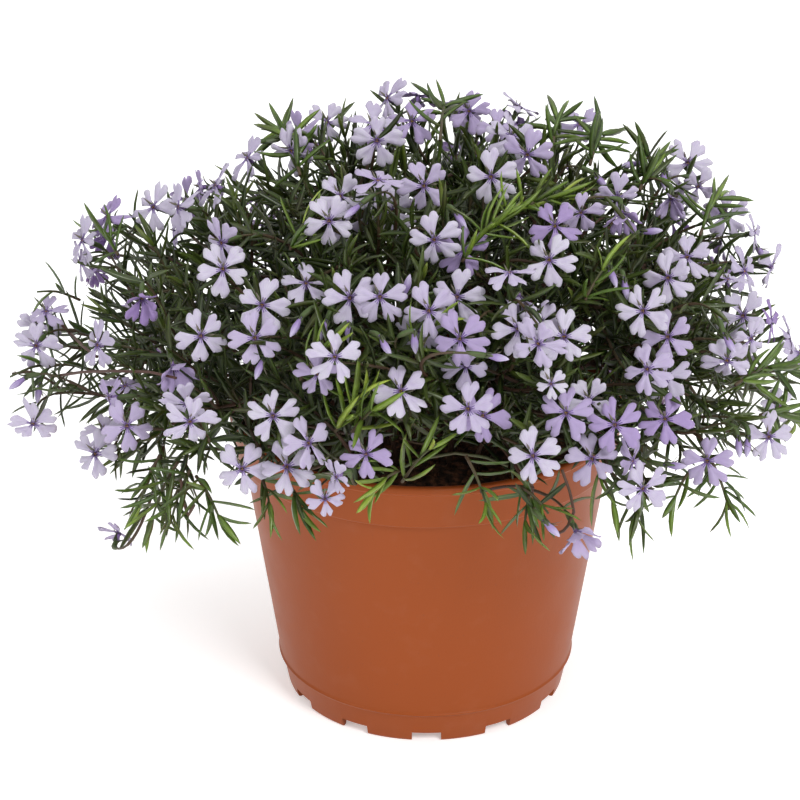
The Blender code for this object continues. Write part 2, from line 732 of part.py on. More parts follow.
def build_soil(collection, cutters, sprays):
    material = plain_material("potting_soil", (0.030, 0.018, 0.012), 0.95)
    plate_top = PLATE_UNDERSIDE + WALL
    collar_inside = WALL_TOP_RADIUS + COLLAR_STEP - WALL - 2 * GAP
    neck = POT_HEIGHT - COLLAR_HEIGHT - 0.0015
    profile = [(0.0, SOIL_LEVEL)]
    profile += [(collar_inside * share, SOIL_LEVEL) for share in SOIL_RINGS]
    profile += [(collar_inside, SOIL_LEVEL), (collar_inside, neck + 0.0030),
                (soil_side(neck) - GAP, neck - 0.0004),
                (soil_side(plate_top), plate_top + GAP), (0.0, plate_top + GAP)]
    soil = as_mesh(turned_solid("soil", profile, POT_SIDES // 2, collection, material))
    for vertex in soil.data.vertices:
        if vertex.co.z > SOIL_LEVEL - GAP:
            vertex.co.z = soil_height(vertex.co.x, vertex.co.y)
    tools = bmesh.new()
    for spray in sprays:
        root = spray.controls[0]
        line = Vector(unit(bezier(spray.controls, FIRST_LEVEL) - root))
        centre = Vector(root) + line * (ROOT_DEPTH / 2 + 0.004)
        turn = Vector((0, 0, 1)).rotation_difference(line).to_matrix().to_4x4()
        hole = (STEM_RADIUS + HOLE_CLEARANCE) / math.cos(math.pi / 4)
        bmesh.ops.create_cone(tools, cap_ends=True, segments=4, radius1=hole, radius2=hole,
                              depth=ROOT_DEPTH + 0.0095, matrix=Matrix.Translation(centre) @ turn)
    mesh = bpy.data.meshes.new("stem_holes")
    tools.to_mesh(mesh)
    tools.free()
    cut(soil, add_object("stem_holes", mesh, cutters))
    return soil


class Grower:
    """A four-sided tube that is drawn out of a face, station by station."""

    def __init__(self, bm, face, heading):
        self.bm = bm
        self.face = face
        self.heading = Vector(heading)
        middle = face.calc_center_median()
        flat = [(v.co - middle) - (v.co - middle).dot(self.heading) * self.heading for v in face.verts]
        first = flat[0].normalized()
        turn = 1 if flat[0].cross(flat[1]).dot(self.heading) > 0 else -1
        self.spokes = [Matrix.Rotation(turn * k * math.pi / 2, 3, self.heading) @ first for k in range(4)]

    def draw_to(self, centre, heading, radius):
        """Extrudes to a new station and returns the four faces along the new length."""
        heading = Vector(heading)
        swing = self.heading.rotation_difference(heading)
        self.spokes = [swing @ spoke for spoke in self.spokes]
        self.heading = heading
        self.face = bmesh.ops.extrude_discrete_faces(self.bm, faces=[self.face])["faces"][0]
        for vertex, spoke in zip(self.face.verts, self.spokes):
            vertex.co = Vector(centre) + spoke * radius
        return [next(f for f in edge.link_faces if f is not self.face) for edge in self.face.edges]


def leaf_beads(root, tip):
    return root + np.linspace(0.08, 1.0, 12)[:, None] * (tip - root)


def grow_leaf(bm, face, along, crowd, draw, owner, leaves):
    """Pokes one needle-like leaf out of a face, where there is room for it."""
    root = np.array(face.calc_center_median())
    out = np.array(face.normal)
    for attempt in range(16):
        sway = np.array([draw.gauss(0, 0.20) for _ in range(3)])
        lean = draw.uniform(0.35, 1.05)
        way = unit(out + lean * along + sway + np.array((0, 0, -0.10)))
        length = draw.uniform(*LEAF_LENGTH) * (1.0 if attempt < 10 else 0.7)
        tip = root + way * length
        beads = leaf_beads(root, tip)
        if not allowed(tip) or not all(clear_of_pot(bead, 0.0012) for bead in beads):
            continue
        stalk = 1000 + owner
        if min(crowd.room(beads, 0.0009, (owner, stalk)), crowd.room(beads[3:], 0.0007)) > GAP:
            point = bmesh.ops.poke(bm, faces=[face])["verts"][0]
            point.co = Vector(tip)
            leaves[point] = Vector(root)
            crowd.add(beads, 0.0007, owner)
            return True
    return False


def allowed(tip):
    """Whether a leaf tip stays inside the plant's outline and off the view of the soil in front."""
    scaled = (tip - MOUND_CENTRE) / MOUND_RADII
    if np.linalg.norm(scaled) > 1.16 or tip[2] < 0.066:
        return False
    offset = tip - EYE
    depth = offset.dot(AHEAD)
    across = MIDDLE_PIXEL + FOCAL_PIXELS * offset.dot(SIDEWAYS) / depth
    down = MIDDLE_PIXEL - FOCAL_PIXELS * offset.dot(UPWARD) / depth
    in_front = tip[1] < -0.02
    if in_front and 385 < across < 505 and down > 446:
        return False
    return not (in_front and 236 < across < 600 and down > 482)


def grow_shoot(bm, face, shoot, crowd, draw, leaves):
    """A leafy shoot with its whorl of leaves, ending in a bloom or a bud."""
    grower = Grower(bm, face, bezier_slope(shoot.controls, 0.02))
    stations = shoot.levels[1:-1] if shoot.head.bud else shoot.levels[1:]
    for index, level in enumerate(stations, start=1):
        heading = bezier_slope(shoot.controls, level)
        sides = grower.draw_to(shoot.points[index], heading, SHOOT_RADIUS)
        if index == shoot.whorl:
            bm.normal_update()
            for side in sides:
                grow_leaf(bm, side, heading, crowd, draw, 2000 + shoot.owner, leaves)
    if shoot.head.bud:
        finish_bud(bm, grower, shoot.head)
    else:
        finish_bloom(bm, grower, shoot.head)


def finish_bud(bm, grower, head):
    """A spindle bud: it swells and runs out to a point."""
    grower.draw_to(head.root(), head.facing, SHOOT_RADIUS)
    sides = grower.draw_to(head.place, head.facing, BUD_RADIUS)
    tip = bmesh.ops.poke(bm, faces=[grower.face])
    tip["verts"][0].co = Vector(head.place + 0.0065 * head.facing)
    for face in sides + tip["faces"]:
        face.material_index = PETAL_SLOT


def finish_bloom(bm, grower, head):
    """Five notched petals round a throat, closed underneath and joined to the stalk's end."""
    reach = BLOOM_RADIUS * head.size
    under = Vector(head.root())
    centre = bm.verts.new(Vector(head.place - 0.0004 * head.facing))
    throat, lobes = [], []
    for k, ray in enumerate(head.rays()):
        between = spin_about(ray, head.facing, -math.tau / 10)
        throat.append(bm.verts.new(under + Vector(between) * THROAT_RADIUS))
        petal = []
        for angle, out in ((-0.30, 0.97), (0.0, NOTCH_REACH), (0.30, 0.97)):
            way = spin_about(ray, head.facing, angle)
            petal.append(bm.verts.new(Vector(head.place + way * reach * out)))
        lobes.append(petal)
    faces = []
    for k in range(5):
        before, after = throat[k], throat[(k + 1) % 5]
        left, notch, right = lobes[k]
        for a, b in ((before, left), (left, notch), (notch, right), (right, after)):
            faces.append(bm.faces.new((centre, a, b)))
        faces.append(bm.faces.new((before, notch, left)))
        faces.append(bm.faces.new((before, after, notch)))
        faces.append(bm.faces.new((notch, after, right)))
    for face in faces:
        face.material_index = PETAL_SLOT
    ring = list(grower.face.verts)
    bmesh.ops.delete(bm, geom=[grower.face], context="FACES_ONLY")
    zip_rings(bm, ring, throat, head.facing)


def zip_rings(bm, lower, upper, axis):
    """A band of triangles between two rings that turn the same way about an axis."""
    axis = Vector(axis)
    middle = sum((v.co for v in upper), Vector()) / len(upper)
    mark = (upper[0].co - middle).normalized()
    side = axis.cross(mark)

    def angle(vertex, centre):
        spoke = vertex.co - centre
        return math.atan2(spoke.dot(side), spoke.dot(mark)) % math.tau

    base = sum((v.co for v in lower), Vector()) / len(lower)
    lower = sorted(lower, key=lambda v: angle(v, base))
    upper = sorted(upper, key=lambda v: (angle(v, middle) + 0.01) % math.tau)
    low_angles = [angle(v, base) for v in lower] + [angle(lower[0], base) + math.tau]
    high_angles = [(angle(v, middle) + 0.01) % math.tau for v in upper] + [math.tau]
    i = j = 0
    while i < len(lower) or j < len(upper):
        a, b = lower[i % len(lower)], upper[j % len(upper)]
        if j == len(upper) or (i < len(lower) and low_angles[i + 1] < high_angles[j + 1]):
            bm.faces.new((a, lower[(i + 1) % len(lower)], b))
            i += 1
        else:
            bm.faces.new((a, upper[(j + 1) % len(upper)], b))
            j += 1


def crossings(bm):
    """Pairs of faces that share no corner and pass through each other."""
    bm.faces.ensure_lookup_table()
    tree = BVHTree.FromBMesh(bm)
    pairs = [(bm.faces[a], bm.faces[b]) for a, b in tree.overlap(tree) if a < b]
    return [(a, b) for a, b in pairs if not set(a.verts) & set(b.verts)]


def draw_back(bm, leaves):
    """Shortens each leaf that passes through another piece of its spray until it is clear."""
    for share in (0.5, 0.4, 0.12):
        pairs = crossings(bm)
        moved = set()
        for pair in pairs:
            tips = [vertex for face in pair for vertex in face.verts if vertex in leaves]
            if tips and not moved & set(tips):
                root = leaves[tips[-1]]
                tips[-1].co = root + share * (tips[-1].co - root)
                moved.add(tips[-1])
        if not pairs:
            break


def grow_spray(spray, collection, crowd, draw, leaf_material, petal_material):
    """One leafy stem with its side shoots, leaves and blooms, drawn out of a single root face."""
    bm = bmesh.new()
    controls = spray.controls
    heading = bezier_slope(controls, 0.0)
    base = bmesh.ops.create_circle(bm, cap_ends=True, segments=4, radius=STEM_RADIUS)["verts"]
    turn = Vector((0, 0, 1)).rotation_difference(Vector(heading)).to_matrix().to_4x4()
    bmesh.ops.transform(bm, verts=base, matrix=Matrix.Translation(controls[0]) @ turn)
    root_face = base[0].link_faces[0]
    root_face.normal_update()
    if root_face.normal.dot(Vector(heading)) < 0:
        root_face.normal_flip()
    cap = bmesh.ops.duplicate(bm, geom=[root_face])["geom"]
    bmesh.ops.reverse_faces(bm, faces=[item for item in cap if isinstance(item, bmesh.types.BMFace)])
    grower = Grower(bm, root_face, heading)
    owner = 1000 + spray.number
    nodes = []
    for index, level in enumerate(spray.levels()[1:-1]):
        sides = grower.draw_to(bezier(controls, level), bezier_slope(controls, level), STEM_RADIUS)
        if index and index % 2 == 0:
            nodes.append(sides)
    grower.draw_to(controls[3], bezier_slope(controls, 1.0), SHOOT_RADIUS)
    bm.normal_update()
    taken = set()
    leaves = {}
    for shoot in spray.shoots:
        if shoot.node is None:
            face = grower.face
        else:
            aim = Vector(shoot.controls[1] - shoot.controls[0]).normalized()
            free = [face for face in nodes[shoot.node] if face not in taken]
            face = max(free, key=lambda side: side.normal.dot(aim))
            taken.add(face)
        grow_shoot(bm, face, shoot, crowd, draw, leaves)
    bm.normal_update()
    for (level, _), sides in zip(spray.nodes, nodes):
        along = bezier_slope(controls, level)
        for side in sides:
            if side not in taken:
                grow_leaf(bm, side, along, crowd, draw, owner, leaves)
    if not any(shoot.node is None for shoot in spray.shoots):
        grow_leaf(bm, grower.face, bezier_slope(controls, 1.0), crowd, draw, owner, leaves)
    draw_back(bm, leaves)
    bmesh.ops.remove_doubles(bm, verts=list(bm.verts), dist=0.00001)
    bmesh.ops.recalc_face_normals(bm, faces=list(bm.faces))
    if bm.calc_volume(signed=True) < 0:
        bmesh.ops.reverse_faces(bm, faces=list(bm.faces))
    mesh = bpy.data.meshes.new(f"spray_{spray.number + 1:02d}")
    bm.to_mesh(mesh)
    bm.free()
    return add_object(mesh.name, mesh, collection, leaf_material, petal_material)


def main():
    remove_everything()
    plant = new_collection("phlox_plant")
    cutters = new_collection("cutters")
    sprays, crowd, draw = grow_plan()
    build_pot(plant, cutters)
    build_soil(plant, cutters, sprays)
    for spray in sprays:
        leaf_material = plain_material(f"leaves_{spray.number + 1:02d}", (0.055, 0.115, 0.020), 0.50)
        petal_material = plain_material(f"petals_{spray.number + 1:02d}", (0.60, 0.52, 0.72), 0.60)
        grow_spray(spray, plant, crowd, draw, leaf_material, petal_material)


main()
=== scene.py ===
"""Looks of the creeping phlox in its pot: leaves, blooms, stems, soil and pot, grown along the plan
that the solids follow, and the soft white stage that it stands on. Metres, +Z up, -Y is the front.
"""
import math
import random
from collections import namedtuple

import bmesh
import bpy
import numpy as np
from bpy.props import FloatProperty, IntProperty, PointerProperty
from mathutils import Matrix, Vector, kdtree, noise


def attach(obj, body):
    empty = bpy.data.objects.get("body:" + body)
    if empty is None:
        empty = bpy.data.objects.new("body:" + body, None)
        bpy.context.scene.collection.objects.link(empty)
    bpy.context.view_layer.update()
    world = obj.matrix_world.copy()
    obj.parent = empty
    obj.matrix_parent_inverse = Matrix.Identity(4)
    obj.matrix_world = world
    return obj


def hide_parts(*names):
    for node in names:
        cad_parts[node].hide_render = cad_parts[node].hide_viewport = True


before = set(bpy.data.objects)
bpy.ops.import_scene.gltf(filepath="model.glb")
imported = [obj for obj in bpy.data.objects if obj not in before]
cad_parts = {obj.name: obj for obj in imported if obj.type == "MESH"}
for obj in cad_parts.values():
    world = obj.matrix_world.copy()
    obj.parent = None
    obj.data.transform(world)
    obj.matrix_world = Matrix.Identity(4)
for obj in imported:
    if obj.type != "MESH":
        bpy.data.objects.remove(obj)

bl_info = {
    "name": "Creeping phlox",
    "version": (1, 0, 0),
    "blender": (4, 5, 0),
    "location": "3D View > Sidebar > Phlox",
    "description": "Grows the leaves, blooms and soil of a potted creeping phlox",
    "category": "Add Mesh",
}

# Narrowest gap between two pieces
GAP = 0.0003

# Pot, a 17 cm grower's pot with a collar and a notched foot
POT_HEIGHT = 0.1332
RIM_RADIUS = 0.085
RIM_BEAD = 0.0032
COLLAR_HEIGHT = 0.0200
COLLAR_STEP = 0.0026
WALL_TOP_RADIUS = 0.0795
LEDGE_HEIGHT = 0.0150
LEDGE_RADIUS = 0.0660
WALL_FOOT_RADIUS = 0.0652
FOOT_RADIUS = 0.0616
FOOT_WALL = 0.0026
WALL = 0.0022
PLATE_UNDERSIDE = 0.0060
PLATE_TOP = PLATE_UNDERSIDE + WALL
PLATE_RADIUS = WALL_FOOT_RADIUS - WALL - 0.0004
COLLAR_FOOT = POT_HEIGHT - COLLAR_HEIGHT
NECK_HEIGHT = COLLAR_FOOT - 0.0015
CORNER_RADIUS = 0.0011
POT_SIDES = 160
NOTCHES = 12
NOTCH_WIDTH = 0.0125
NOTCH_HEIGHT = 0.0045
NOTCH_DEPTH = 0.012
DRAIN_HOLES = 6
DRAIN_RADIUS = 0.0040
DRAIN_CIRCLE = 0.0420

# Soil, filling the pot to a little under the rim
SOIL_LEVEL = 0.1240
SOIL_CROWN = 0.0030
SOIL_ROUGHNESS = 0.0016
SOIL_RINGS = 44
SOIL_SIDES = 128
CRUMBS = 620
CRUMB_SHAPES = 3
CRUMB_RADIUS = 0.0010

# Mound, the rounded outline that the blooms lie on, and how stems and shoots are led up to it
MOUND_CENTRE = np.array((0.0, 0.0, 0.140))
MOUND_RADII = np.array((0.155, 0.138, 0.115))
SPRAYS = 34
LOWEST_SPRAY = math.radians(98)
LOWEST_BLOOM = math.radians(118)
LOWEST_FILLER = math.radians(104)
CROWN_RADIUS = 0.060
STEM_REACH = 0.78
LOW_STEM_REACH = 0.86
ROOT_DEPTH = 0.012
ROUTES = 120
ROUTE_ROOM = 0.0007
HEAD_ROOM = 0.0006
BACK_ROOM = 0.0030
STRAIGHTEST_BEND = 0.50

# Stems, shoots and their blooms, and the numbers that their beads are told apart by
STEM_RADIUS = 0.0016
SHOOT_RADIUS = 0.0012
BUD_RADIUS = 0.0017
NODE_LENGTH = 0.0024
FIRST_LEVEL = 0.22
TOP_NODE = 0.93
NODE_SPACING = 0.105
BLOOM_RADIUS = 0.0107
NECK_LENGTH = 0.0050
THROAT_DEPTH = 0.0016
PETAL_BEAD = 0.0015
BACK_BLOOMS = 47
BACK_SPOTS = 260
STEM_OWNERS = 1000
SHOOT_OWNERS = 2000
STALK_OWNERS = 3000
MOST_BEADS = 60000

# The bloom that reaches furthest to the right, past the edge of the picture
EDGE_BLOOM = np.array((0.1675, 0.047, 0.134))

# Picture in which the front of the plant is seen: where the eye stands and what a pixel spans
EYE_DISTANCE = 1.100
EYE_ELEVATION = math.radians(24.8)
EYE_AIM = np.array((-0.0114, 0.0, 0.1331))
FOCAL_PIXELS = 2556.0
MIDDLE_PIXEL = 400.0

# Each bloom that the picture shows: pixel across and down, degrees that its face is turned to the right
# and up from the eye, the way that one petal points, its size and how much further back it lies
Seen = namedtuple("Seen", "across down right up petal size back", defaults=(1.0, 0.0))
BLOOMS_LEFT = (
    (247, 158, -60, 35, 95), (215, 185, -65, 25, 100), (199, 187, -80, 0, 90, 0.7),
    (178, 207, -60, 5, 100), (153, 207, -35, 10, 60), (107, 216, -50, 30, 60),
    (110, 236, -30, -45, 0), (82, 240, -60, 15, 80), (80, 262, -75, -10, 75, 0.9),
    (93, 271, 35, -45, -40, 0.7), (221, 243, -45, -15, 110), (223, 269, 0, 5, 50),
    (142, 299, 0, -40, 0), (46, 311, -20, 55, 95, 0.9), (39, 327, -10, 0, 0),
    (36, 346, -20, -25, -60), (97, 345, -50, 0, 80), (201, 336, 0, 0, 45),
    (255, 338, 0, 0, 36), (174, 367, 25, -50, -60), (109, 398, -75, -5, 0),
    (125, 386, -20, 55, 20, 0.9), (127, 426, 5, 0, 55), (95, 454, -25, 0, 0),
    (103, 430, -20, 45, 30, 0.9, 0.012), (33, 424, -10, -45, 160), (187, 404, 0, -40, 26),
    (190, 422, 10, -35, 80), (242, 469, 0, 5, 65),
)
BLOOMS_CROWN = (
    (327, 122, 0, 20, 70, 0.85), (297, 134, -50, 5, 100), (291, 151, -35, -25, -100),
    (373, 124, 0, 35, 85), (377, 141, 5, -10, -60), (387, 98, -55, 30, 60),
    (412, 121, 0, 35, 90), (469, 111, 0, 25, 80), (497, 128, 10, 40, 90, 0.9),
    (512, 136, 40, 25, 20), (527, 155, -15, 0, 80), (424, 186, 0, 0, 40),
    (491, 177, 0, 0, 25), (329, 221, -10, 0, 53), (340, 196, 0, 30, 60),
    (378, 180, 0, 60, 0), (375, 194, 0, 65, 0), (393, 211, 0, 10, 40, 0.95, 0.012),
    (434, 240, 0, -20, 36), (463, 250, 15, 5, 20, 1.0, 0.010), (306, 283, 0, 45, 90),
    (346, 226, 25, 0, 0, 0.9, 0.012), (580, 124, 0, 50, 60),
)
BLOOMS_FRONT = (
    (262, 305, 0, 10, 3), (350, 298, 0, 0, 38), (380, 297, 0, 0, 18), (429, 311, 0, 0, 45),
    (457, 297, 0, 0, 10), (460, 339, 0, 0, 50), (421, 331, 0, -30, -60, 0.9, 0.010),
    (466, 366, 0, -15, -90, 0.9, 0.012), (317, 374, -10, 0, 23, 0.85),
    (335, 357, 15, 15, 18, 0.95), (401, 391, 0, 20, 36), (468, 409, 0, 0, 18),
    (483, 416, 10, -5, 54, 1.0, 0.014), (273, 416, 0, 5, 18), (287, 467, 0, 10, 38),
    (309, 443, 35, 15, 35), (325, 499, 20, -15, 60, 0.75), (336, 477, -50, -20, 0, 0.7),
    (366, 454, 0, 5, 54, 0.9),
)
BLOOMS_RIGHT = (
    (555, 226, 0, 20, 54), (549, 260, 0, 10, 63), (510, 272, 0, 70, 0), (519, 298, 0, -60, -60),
    (518, 329, 0, 0, 45), (541, 323, 0, 10, 70, 0.9, 0.012), (538, 344, -30, -25, -90),
    (564, 337, 0, 0, 13), (581, 213, 10, -30, -60, 0.85), (617, 198, 35, -30, -60),
    (622, 214, 15, -60, -60, 0.9), (643, 311, 0, 0, 36), (668, 337, 0, 0, 37),
    (668, 278, -10, 0, 33), (687, 257, 0, 25, 23), (688, 163, 15, 10, 60),
    (698, 187, 30, -35, -30, 0.9), (671, 199, 0, -50, 20, 0.9), (726, 214, 0, 5, 18),
    (755, 234, 80, 5, 90, 0.8), (772, 267, 70, -10, 60), (745, 271, 55, 15, 90),
    (728, 279, 0, 65, 0, 0.8, 0.010), (743, 316, 10, 0, 50), (772, 322, 80, 0, 90, 0.9),
    (751, 339, 50, -35, -50, 0.9), (727, 361, 0, -35, 54), (647, 369, -10, 25, 36),
    (665, 376, 5, 0, 10), (665, 419, 0, 15, 62), (633, 461, 65, 0, 30), (707, 461, 0, 0, 13),
    (769, 437, 25, 0, 18), (551, 384, 0, 0, 50, 0.6), (566, 413, -5, 5, 8),
    (589, 401, 0, -10, 54, 0.9, 0.012), (615, 425, 0, 0, 28), (592, 459, 0, 10, 28),
    (533, 456, 0, 0, 33), (643, 489, 20, -25, 30), (577, 533, 35, -50, -80),
)

# Each closed bud that the picture shows: pixel across and down, and the way it points
BUDS_SEEN = (
    (15, 385, 215), (38, 396, 262), (294, 330, 240), (322, 334, 250), (349, 337, 275),
    (387, 349, 300), (415, 346, 275), (408, 282, 75), (462, 222, 305), (614, 280, 290),
    (626, 292, 280), (603, 184, 310), (664, 183, 275), (763, 255, 310), (739, 450, 275),
    (747, 450, 265), (679, 466, 355), (731, 346, 300), (554, 531, 315), (258, 372, 250),
    (501, 358, 350), (655, 231, 5), (628, 165, 190), (350, 213, 220),
)

# Leaves, blooms and stems, as fine as they are seen
LEAF_SIZE = 0.0180
LEAF_HALF_WIDTH = 0.00116
LEAF_THICKNESS = 0.00050
LEAF_BENDS = ((0.12, 0.06), (0.34, -0.14), (0.55, 0.08), (-0.26, -0.06), (0.22, 0.26), (-0.14, 0.14))
PETAL_HALF_WIDTH = 0.0037
OPEN_BLOOMS = 6
NODDING_BLOOMS = 3
PETAL_THICKNESS = 0.00022
PETAL_SHOULDER = 0.82
PETAL_GRID = (8, 5)
THROAT_LIP = 0.0009
TUBE_LENGTH = 0.0045
CALYX_LENGTH = 0.0070
CALYX_RADIUS = 0.00120
CALYX_MOUTH = 0.0024
TUBE_RADIUS = 0.0008
TOOTH_LENGTHS = (0.20, 0.26)
STALK_RADIUS = 0.00050
STALK_STEP = 0.0009
BARE_STEM_RADIUS = 0.00062
MAIN_STEM_RADIUS = 0.00110
MAIN_STEM_TAPER = 0.0005
TWIG_TAPER = 0.0003
FILLER_LENGTH = 0.045
INNER_REACH = (0.45, 0.75)
OUTER_REACH = (0.80, 0.97)
TUFT_LENGTH = 0.012
LEAF_LEAN = (0.15, 1.00)
LEAF_RISE = 0.12
LEAF_SWAY = 0.22
BUD_KINDS = 3
LEAF_PAIR_SPACING = 0.0058
FILLER_SHOOTS = 260

# How far a leaf tip may reach: off the petals and the pot, sideways, back and up, out from the mound and
# down, and the place from which it counts as in front
PETAL_MARGIN = 0.0021
POT_MARGIN = 0.0010
LEAF_REACH = (0.178, 0.149, 0.266)
MOUND_REACH = 1.16
LOWEST_LEAF = 0.066
FRONT = -0.02

# Parts of the picture where no leaf in front hides the pot or its soil: left, right and top pixel
OPEN_VIEWS = ((385, 505, 446), (236, 600, 482))

# Lowest point on the picture that a leaf tip reaches, as pixels across and pixels down, and the pixel
# below which the leaves of a young shoot hang as they like
HEM_ACROSS = (0, 130, 230, 300, 490, 530, 640, 700, 800)
HEM_DOWN = (440, 525, 532, 522, 535, 560, 548, 522, 440)
YOUNG_HANG = 486

# White floor, how brightly it glows by itself, and the lamps: where each stands and how wide it is
WHITE = (0.93, 0.93, 0.93)
FLOOR_GLOW = 0.35
FLOOR_REACH = 30
LAMPS = (("key", (0.8, -1.4, 1.5), 0.8), ("fill", (-1.5, -1.1, 0.9), 1.1), ("top", (0.2, 0.3, 1.9), 1.2))
LAMP_TARGET = (0, 0, 0.13)

# Pieces that the leaves are grouped in: where on the stem they start, their tint, and how small and how
# large they are
LEAF_GROUPS = {
    "leaves_on_stems": (0.0, 0.20, 0.8, 1.15),
    "leaves_on_shoots": (0.12, 0.45, 0.75, 1.05),
    "leaves_on_fillers": (0.15, 0.30, 0.70, 1.05),
    "leaves_inside": (0.15, 0.30, 0.70, 1.05),
    "leaves_young": (0.1, 0.15, 0.8, 1.1),
}

# Young and hanging shoots as the picture shows them: base pixel, tip pixel, how far back the base and
# the tip lie, and how young the leaves are
Sprig = namedtuple("Sprig", "x0 y0 x1 y1 back0 back1 young", defaults=(0.010, 0.0, 0.2))
SPRIGS = (
    (478, 238, 570, 194, 0.012, 0.0, 0.75), (462, 262, 505, 212, 0.012, 0.0, 0.55),
    (335, 432, 368, 392, 0.014, 0.002, 0.85), (352, 432, 388, 402, 0.014, 0.0, 0.7),
    (402, 482, 440, 442, 0.020, 0.006, 0.8), (400, 470, 374, 490, 0.020, 0.010, 0.8),
    (466, 456, 488, 510, 0.014, 0.002, 0.3), (520, 486, 552, 518, 0.016, 0.004),
    (530, 490, 524, 528, 0.016, 0.004), (598, 470, 614, 505, 0.014, 0.002),
    (640, 480, 634, 522, 0.012, 0.002, 0.1), (690, 470, 670, 510), (712, 462, 730, 514, 0.012),
    (735, 385, 796, 374, 0.012, 0.0, 0.4), (760, 415, 796, 424, 0.012, 0.0, 0.3),
    (80, 300, 35, 292, 0.010, 0.0, 0.3), (60, 365, 8, 378, 0.008), (160, 455, 138, 510, 0.012),
    (178, 462, 150, 524, 0.012, 0.002), (190, 470, 170, 524, 0.012, 0.002, 0.1),
    (196, 476, 222, 524, 0.014, 0.002), (288, 482, 304, 518, 0.020, 0.008),
    (262, 478, 270, 506, 0.018, 0.006, 0.1), (552, 150, 560, 118, 0.010, 0.0, 0.3), (640, 190, 655, 160),
    (440, 140, 446, 104), (700, 235, 722, 196), (300, 175, 280, 130), (118, 255, 92, 225),
    (590, 165, 604, 132), (420, 350, 440, 320, 0.010, 0.0, 0.5), (300, 380, 330, 345, 0.012, 0.0, 0.4),
    (585, 300, 610, 262, 0.010, 0.0, 0.4), (290, 250, 310, 215, 0.010, 0.0, 0.4),
)

# Bare stems that the picture shows: pixels along each, how far back it lies and its colour
LONG_STEMS = (
    (((50, 377), (82, 372), (112, 371), (150, 372), (176, 378)), 0.004, 0.30),
    (((62, 325), (70, 333), (84, 347), (97, 357)), 0.004, 0.30),
    (((12, 374), (30, 371), (46, 378), (60, 388)), 0.002, 0.45),
    (((402, 468), (420, 459), (455, 453), (485, 457), (508, 466)), 0.040, 0.55),
    (((480, 492), (500, 487), (518, 486), (534, 488)), 0.026, 0.15),
    (((562, 470), (570, 492), (574, 512), (566, 530), (556, 534)), 0.006, 0.35),
    (((181, 480), (183, 500), (188, 516), (194, 505)), 0.006, 0.35),
)

def unit(vector):
    return vector / np.linalg.norm(vector)


def scatter(draw, spread=1):
    """A vector whose three parts are drawn from a bell curve."""
    return np.array([draw.gauss(0, spread) for _ in range(3)])


def even_direction(k, total, lowest, start=0.0):
    """The direction of one of many places spread evenly over a ball, from its top down to an angle."""
    height = 1.0 - (k + 0.5) / total * (1.0 - math.cos(lowest))
    around = k * math.pi * (3 - math.sqrt(5)) + start
    across = math.sqrt(1.0 - height * height)
    return np.array((across * math.cos(around), across * math.sin(around), height))


def spin_about(vector, axis, angle):
    """The vector turned about an axis by an angle in radians."""
    turned = Matrix.Rotation(angle, 3, Vector(axis)) @ Vector(vector)
    return np.array(turned)


AHEAD = np.array((0.0, math.cos(EYE_ELEVATION), -math.sin(EYE_ELEVATION)))
UPWARD = np.array((0.0, math.sin(EYE_ELEVATION), math.cos(EYE_ELEVATION)))
SIDEWAYS = np.array((1.0, 0.0, 0.0))
EYE = EYE_AIM - EYE_DISTANCE * AHEAD


def sight_line(across, down):
    """The direction from the eye through a pixel of the picture."""
    slope_x = (across - MIDDLE_PIXEL) / FOCAL_PIXELS
    slope_y = (MIDDLE_PIXEL - down) / FOCAL_PIXELS
    return unit(AHEAD + slope_x * SIDEWAYS + slope_y * UPWARD)


def on_mound(line, back=0.0):
    """Where a sight line meets the mound, or comes nearest to it, and a little further back."""
    start = (EYE - MOUND_CENTRE) / MOUND_RADII
    step = line / MOUND_RADII
    nearest = -start.dot(step) / step.dot(step)
    miss = np.linalg.norm(start + nearest * step)
    if miss < 1.0:
        nearest -= math.sqrt(1.0 - miss * miss) / np.linalg.norm(step)
    return EYE + (nearest + back) * line


def bezier(controls, t):
    a, b, c, d = controls
    t = np.asarray(t)[..., None]
    s = 1.0 - t
    return s * s * s * a + 3 * s * s * t * b + 3 * s * t * t * c + t * t * t * d


def bezier_slope(controls, t):
    a, b, c, d = controls
    s = 1.0 - t
    return unit(3 * s * s * (b - a) + 6 * s * t * (c - b) + 3 * t * t * (d - c))


def pot_radius(height):
    """The pot's outer radius at a height."""
    if height > COLLAR_FOOT:
        return RIM_RADIUS
    rise = (height - LEDGE_HEIGHT) / (COLLAR_FOOT - LEDGE_HEIGHT)
    return WALL_FOOT_RADIUS + max(rise, 0.0) * (WALL_TOP_RADIUS - WALL_FOOT_RADIUS)


def clear_of_pot(point, margin):
    """Whether a point keeps a margin to the pot and the soil in it."""
    across = math.hypot(point[0], point[1])
    if point[2] > POT_HEIGHT + margin or across > pot_radius(point[2]) + margin:
        return True
    return across < RIM_RADIUS - 2 * WALL - margin and point[2] > SOIL_LEVEL + SOIL_CROWN + margin


